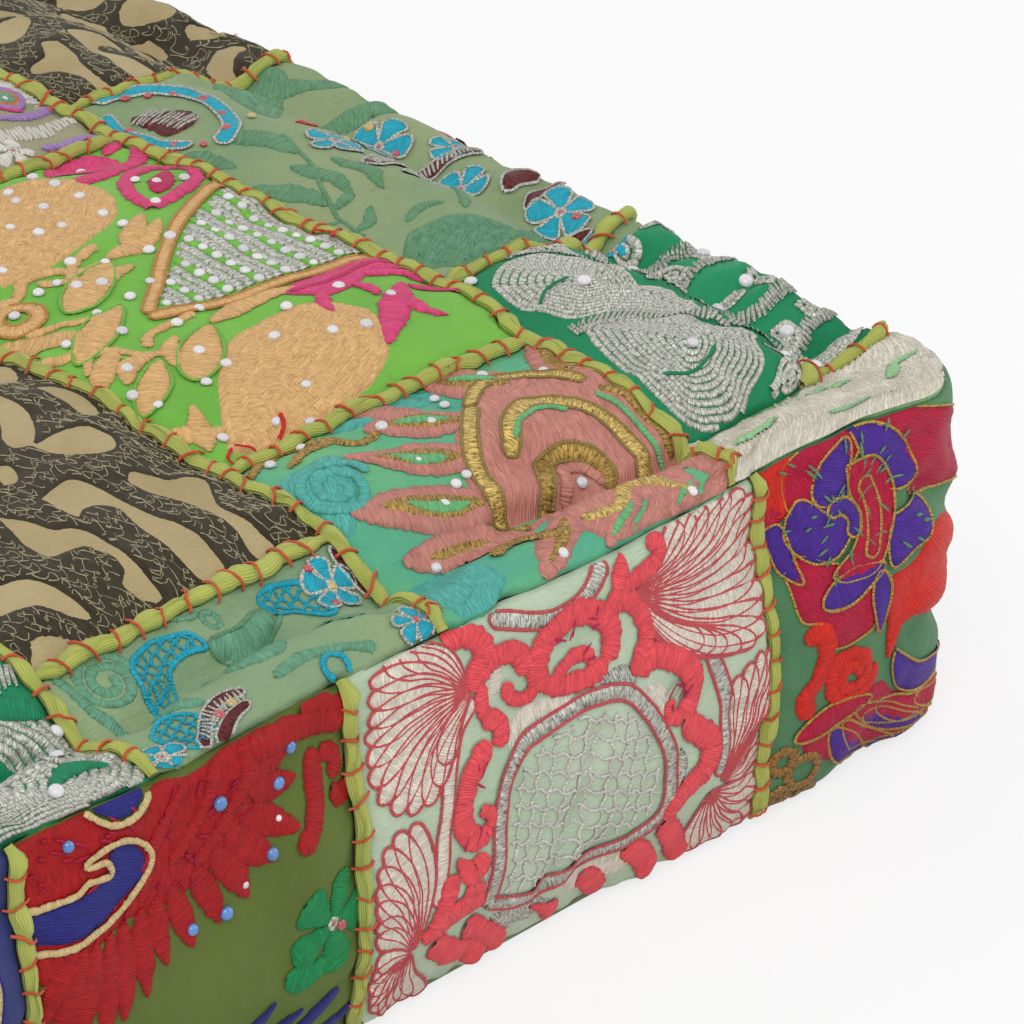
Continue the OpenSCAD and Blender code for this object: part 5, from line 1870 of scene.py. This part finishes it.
    "indigo_daisy": ("side_corner_indigo_daisy", """
satin straw/navy 3.4 1|-128 12,-131 26,-127 44,-132 62,-128 82,-132 100,-128 119
ring scarlet 4 1|-141 106 7
satin straw/navy 4 1|-170 12,-158 24,-152 44,-160 64,-154 86,-146 106,-150 120
ring scarlet 5 1|-146 53 10,-184 30 10,-184 90 11
ring straw 2.4 1|-146 53 15,-184 30 15,-184 90 16
ring leaf 3.6 2|-146 53 4.4,-184 30 4.4,-184 90 5
flower turquoise/straw 11 1|-166 88,-210 60,-240 30,-236 94
leaf leaf 8 1|-176 50,-186 58,-196 70
leaf leaf 8 1|-176 70,-168 60,-160 74
satin straw/navy 4 1|-200 11,-206 30,-196 46,-206 66,-198 86,-206 106,-202 120
ring scarlet 5 1|-226 60 9
ring straw 2.4 1|-226 60 14
satin scarlet 4 1|-218 12,-228 20,-222 34,-232 42
satin scarlet 4 1|-216 84,-226 92,-220 104,-230 114
satin straw/navy 4 1|-252 12,-246 30,-254 50,-246 70,-254 92,-248 118
leaf leaf 8 1|-240 60,-236 70,-240 80
beads ruby 2 3|-146 53,-184 30,-184 90,-226 60
beads pearl 1.8 3|-166 88,-210 60,-240 30,-236 94
"""),
}
OWN_DESIGNS = {"top_2a_silver_paisley": "silver_corner"}
DESIGN_OF = {"silver_paisley": "emerald_paisley", "mint_medallion": "coral_medallion"}


class POUF_OT_embroidery(bpy.types.Operator):
    """Sews the silk, the metal thread and the beads of every patch"""

    bl_idname = "pouf.embroidery"
    bl_label = "Embroidery"

    def execute(self, context):
        cover = shared_cover()
        by_name = {patch.name: patch for patch in cover.patches}
        heaps = {}
        for patch in cover.patches:
            kind = OWN_DESIGNS.get(patch.name, DESIGN_OF.get(patch.style, patch.style))
            home, text = DESIGNS[kind]
            Needle(cover, patch, heaps).sew(by_name[home], text)
        finishes = {"silk": silk_finish(), "zari": zari_finish(), "bead": bead_finish()}
        for (slot, kind), heap in heaps.items():
            heap.piece(f"{kind}_{slot.replace('_patch', '')}", finishes[kind], slot)
        return {"FINISHED"}


class POUF_OT_inside(bpy.types.Operator):
    """Makes the wadded inner case that the cover is stretched over"""

    bl_idname = "pouf.inside"
    bl_label = "Inner case"

    # How far the case lies behind the patches and over the base panel, and the levels
    # of its sides
    BEHIND = 6
    OVER_BASE = 0.4
    LEVELS = 24, 42, 60, 80, 99, 115
    # Channel for the zip in metres: how far it runs past the tape, its half width and
    # how far it clears what stands in it
    CHANNEL = 0.004, 0.0142, 0.002

    def execute(self, context):
        cover = shared_cover()
        inward = -(context.scene.pouf_sizes.cloth_t / MM + self.BEHIND)
        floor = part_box("lining_base")[1].z + self.OVER_BASE * MM
        bm, places = cover.shell(cover.CELLS, (*self.LEVELS, cover.DEPTH))
        a, b, on_side = places.T
        side, top = (chart.at(a, b, inward)[0] for chart in (cover.side, cover.top))
        points = np.where(on_side[:, None] > 0.5, side, top)
        for vert, point, level in zip(bm.verts, points * MM, b * on_side):
            vert.co = (*point[:2], floor if level > cover.DEPTH - 1 else point[2])
        self.channel(bm, floor)
        bmesh.ops.recalc_face_normals(bm, faces=bm.faces[:])
        mesh = mesh_of(bm, "inner_case")
        mesh.shade_smooth()
        mesh.materials.append(plain_weave("inner case cotton", context.scene.pouf_colours.lining, 0.9))
        piece = dressed(bpy.data.objects.new("inner_case", mesh), "wadding")
        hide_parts("filling", "lining_top", "lining_boxing")
        return {"FINISHED"}

    def channel(self, bm, floor):
        """Sinks a channel into the underside, clear of the zip's slider."""
        def underside():
            return [f for f in bm.faces if all(abs(v.co.z - floor) < 1e-5 for v in f.verts)]

        low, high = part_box("zip_tape_front")
        tops = [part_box(node)[1].z for node in ("zip_slider", "zip_pull", "lining_base")]
        past_end, half_width, above = self.CHANNEL
        for way, reach in (((1, 0, 0), max(-low.x, high.x) + past_end), ((0, 1, 0), half_width)):
            for sign in (-1, 1):
                parts = {g for f in underside() for g in (f, *f.edges, *f.verts)}
                bmesh.ops.bisect_plane(bm, geom=list(parts), plane_co=Vector(way) * sign * reach,
                                       plane_no=way)
        middle = min(underside(), key=lambda f: f.calc_center_median().xy.length)
        sunk = bmesh.ops.extrude_discrete_faces(bm, faces=[middle])["faces"]
        for vert in sunk[0].verts:
            vert.co.z = max(tops) + above


# Scale of a wave texture whose threads are about 1 wide
THREADS = 0.159


def plain_weave(name, tone, pitch):
    """Cotton with a visible weave, for the pieces that keep their plain shape."""
    finish = Finish(name, 0.8, sheen_weight=0.2)
    place = finish.place()
    warp, weft = (finish.wave(place, THREADS / (pitch * MM), 0.8, axis) for axis in "XY")
    slubs = finish.noise(finish.scaled(place, (1, 9, 1)), 90, 3)
    dark = tuple(c * 0.72 for c in tone)
    finish.set({"Base Color": finish.mix(finish.ramp(slubs, 0.3, 0.75), tone, dark),
                "Normal": finish.bump(warp + weft + slubs, 0.6, 0.2 * MM)})
    return finish.material


def metal_finish(name, tone):
    """Brass, worn in clouds."""
    finish = Finish(name, 0.35, metallic=1.0)
    wear = finish.noise(finish.place(), 420, 4)
    dark = tuple(c * 0.45 for c in tone)
    finish.set({"Base Color": finish.mix(finish.ramp(wear, 0.45, 0.75) * 0.6, tone, dark),
                "Roughness": 0.28 + wear * 0.25,
                "Normal": finish.bump(wear, 0.25, 0.1 * MM)})
    return finish.material


class POUF_OT_underside(bpy.types.Operator):
    """Finishes the base panels and the zip"""

    bl_idname = "pouf.underside"
    bl_label = "Base and zip"

    def execute(self, context):
        colours = context.scene.pouf_colours
        base = plain_weave("base cotton", tuple(colours.base), 0.8)
        tape = plain_weave("zip tape", tuple(colours.zip), 0.6)
        teeth = metal_finish("zip teeth", tuple(0.6 * c for c in colours.brass))
        brass = metal_finish("brass", tuple(colours.brass))
        lining = plain_weave("lining cotton", tuple(colours.lining), 0.7)
        for finish, nodes in ((base, "base_front base_back"), (lining, "lining_base"),
                              (tape, "zip_tape_front zip_tape_back"),
                              (teeth, "zip_teeth_front zip_teeth_back"),
                              (brass, "zip_stops zip_slider zip_pull")):
            for node in nodes.split():
                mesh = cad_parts[node].data
                mesh.materials.clear()
                mesh.materials.append(finish)
        return {"FINISHED"}


# Stage

VIEW_TURN = -44.83
VIEW_RISE = 29.31
VIEW_TARGET = (0.1058, -0.1973, 0.1)
VIEW_DISTANCE = 1.5
VIEW_LENS = 191.5
SENSOR = 36

# Soft lamps: name, place, size, power
LAMPS = (
    ("key", (-1.3, -1.5, 2.3), 1.6, 40),
    ("fill", (2.2, -1.6, 1.4), 2.0, 16),
    ("back", (-0.6, 2.2, 1.9), 1.8, 16),
)
# Strength of the light from all round, and the share of white added to the floor
DAYLIGHT = 0.55
WHITE = 0.75
FLOOR_HALF = 6


class POUF_OT_stage(bpy.types.Operator):
    """Sets the floor, the soft lamps, the white background and the camera"""

    bl_idname = "pouf.stage"
    bl_label = "Stage"

    def execute(self, context):
        scene = context.scene
        scene.view_settings.view_transform = "Standard"
        self.floor()
        self.world(scene)
        for name, place, size, power in LAMPS:
            lamp = bpy.data.lights.new(name, "AREA")
            lamp.size = size
            lamp.energy = power
            obj = bpy.data.objects.new(name, lamp)
            obj.location = place
            obj.rotation_euler = (-Vector(place)).to_track_quat("-Z", "Y").to_euler()
            scene.collection.objects.link(obj)
        turn, rise = math.radians(VIEW_TURN), math.radians(VIEW_RISE)
        back = Vector((math.sin(turn) * math.cos(rise), -math.cos(turn) * math.cos(rise), math.sin(rise)))
        camera = bpy.data.cameras.new("camera")
        camera.lens = VIEW_LENS
        camera.sensor_width = SENSOR
        obj = bpy.data.objects.new("camera", camera)
        obj.location = Vector(VIEW_TARGET) + back * VIEW_DISTANCE
        obj.rotation_euler = back.to_track_quat("Z", "Y").to_euler()
        scene.collection.objects.link(obj)
        scene.camera = obj
        return {"FINISHED"}

    def floor(self):
        bm = bmesh.new()
        bmesh.ops.create_grid(bm, x_segments=1, y_segments=1, size=FLOOR_HALF)
        mesh = mesh_of(bm, "floor")
        finish = Finish("floor", 0.9)
        finish.set({"Base Color": (0.86, 0.86, 0.86)})
        mesh.materials.append(finish.material)
        self.whiten(finish)
        obj = bpy.data.objects.new("floor", mesh)
        bpy.context.scene.collection.objects.link(obj)

    def whiten(self, finish):
        """Adds white to what the camera sees of the floor, and keeps its shadow."""
        seen = finish.add("ShaderNodeLightPath", {}, {}, "Is Camera Ray")
        glow = finish.add("ShaderNodeEmission", {}, {"Strength": 1})
        surface = Value(finish, finish.shader.outputs[0])
        finish.shade("Material Output", finish.ramp(seen, 0, 1) * WHITE, surface, glow)

    def world(self, scene):
        """Even daylight, and plain white where the camera or a gloss sees the world."""
        world = bpy.data.worlds.new("studio")
        world.use_nodes = True
        scene.world = world
        nodes = Nodes(world.node_tree)
        plain = nodes.tree.nodes["Background"]
        nodes.plug(plain.inputs["Color"], (1, 1, 1))
        nodes.plug(plain.inputs["Strength"], DAYLIGHT)
        white = nodes.add("ShaderNodeBackground", {}, {"Color": (1, 1, 1)})
        seen, glossy = (nodes.add("ShaderNodeLightPath", {}, {}, ray)
                        for ray in ("Is Camera Ray", "Is Glossy Ray"))
        either = nodes.add("ShaderNodeMath", {"operation": "MAXIMUM"}, {0: seen, 1: glossy})
        nodes.shade("World Output", either, Value(nodes, plain.outputs[0]), white)


class POUF_PT_panel(bpy.types.Panel):
    bl_label = "Patchwork pouf"
    bl_idname = "POUF_PT_panel"
    bl_space_type = "VIEW_3D"
    bl_region_type = "UI"
    bl_category = "Pouf"

    def draw(self, context):
        layout = self.layout
        for group in (context.scene.pouf_sizes, context.scene.pouf_colours):
            box = layout.box()
            for name in group.__annotations__:
                box.prop(group, name)
        for operator in STEPS:
            layout.operator(operator.bl_idname)


STEPS = (POUF_OT_stage, POUF_OT_patches, POUF_OT_embroidery, POUF_OT_cords, POUF_OT_inside,
         POUF_OT_underside)
CLASSES = (PoufSizes, PoufColours, *STEPS, POUF_PT_panel)


def register():
    for cls in CLASSES:
        bpy.utils.register_class(cls)
    bpy.types.Scene.pouf_sizes = PointerProperty(type=PoufSizes)
    bpy.types.Scene.pouf_colours = PointerProperty(type=PoufColours)


def unregister():
    del bpy.types.Scene.pouf_colours
    del bpy.types.Scene.pouf_sizes
    for cls in reversed(CLASSES):
        bpy.utils.unregister_class(cls)


def main():
    register()
    for step in STEPS:
        family, name = step.bl_idname.split(".")
        getattr(getattr(bpy.ops, family), name)()


if __name__ == "__main__":
    main()
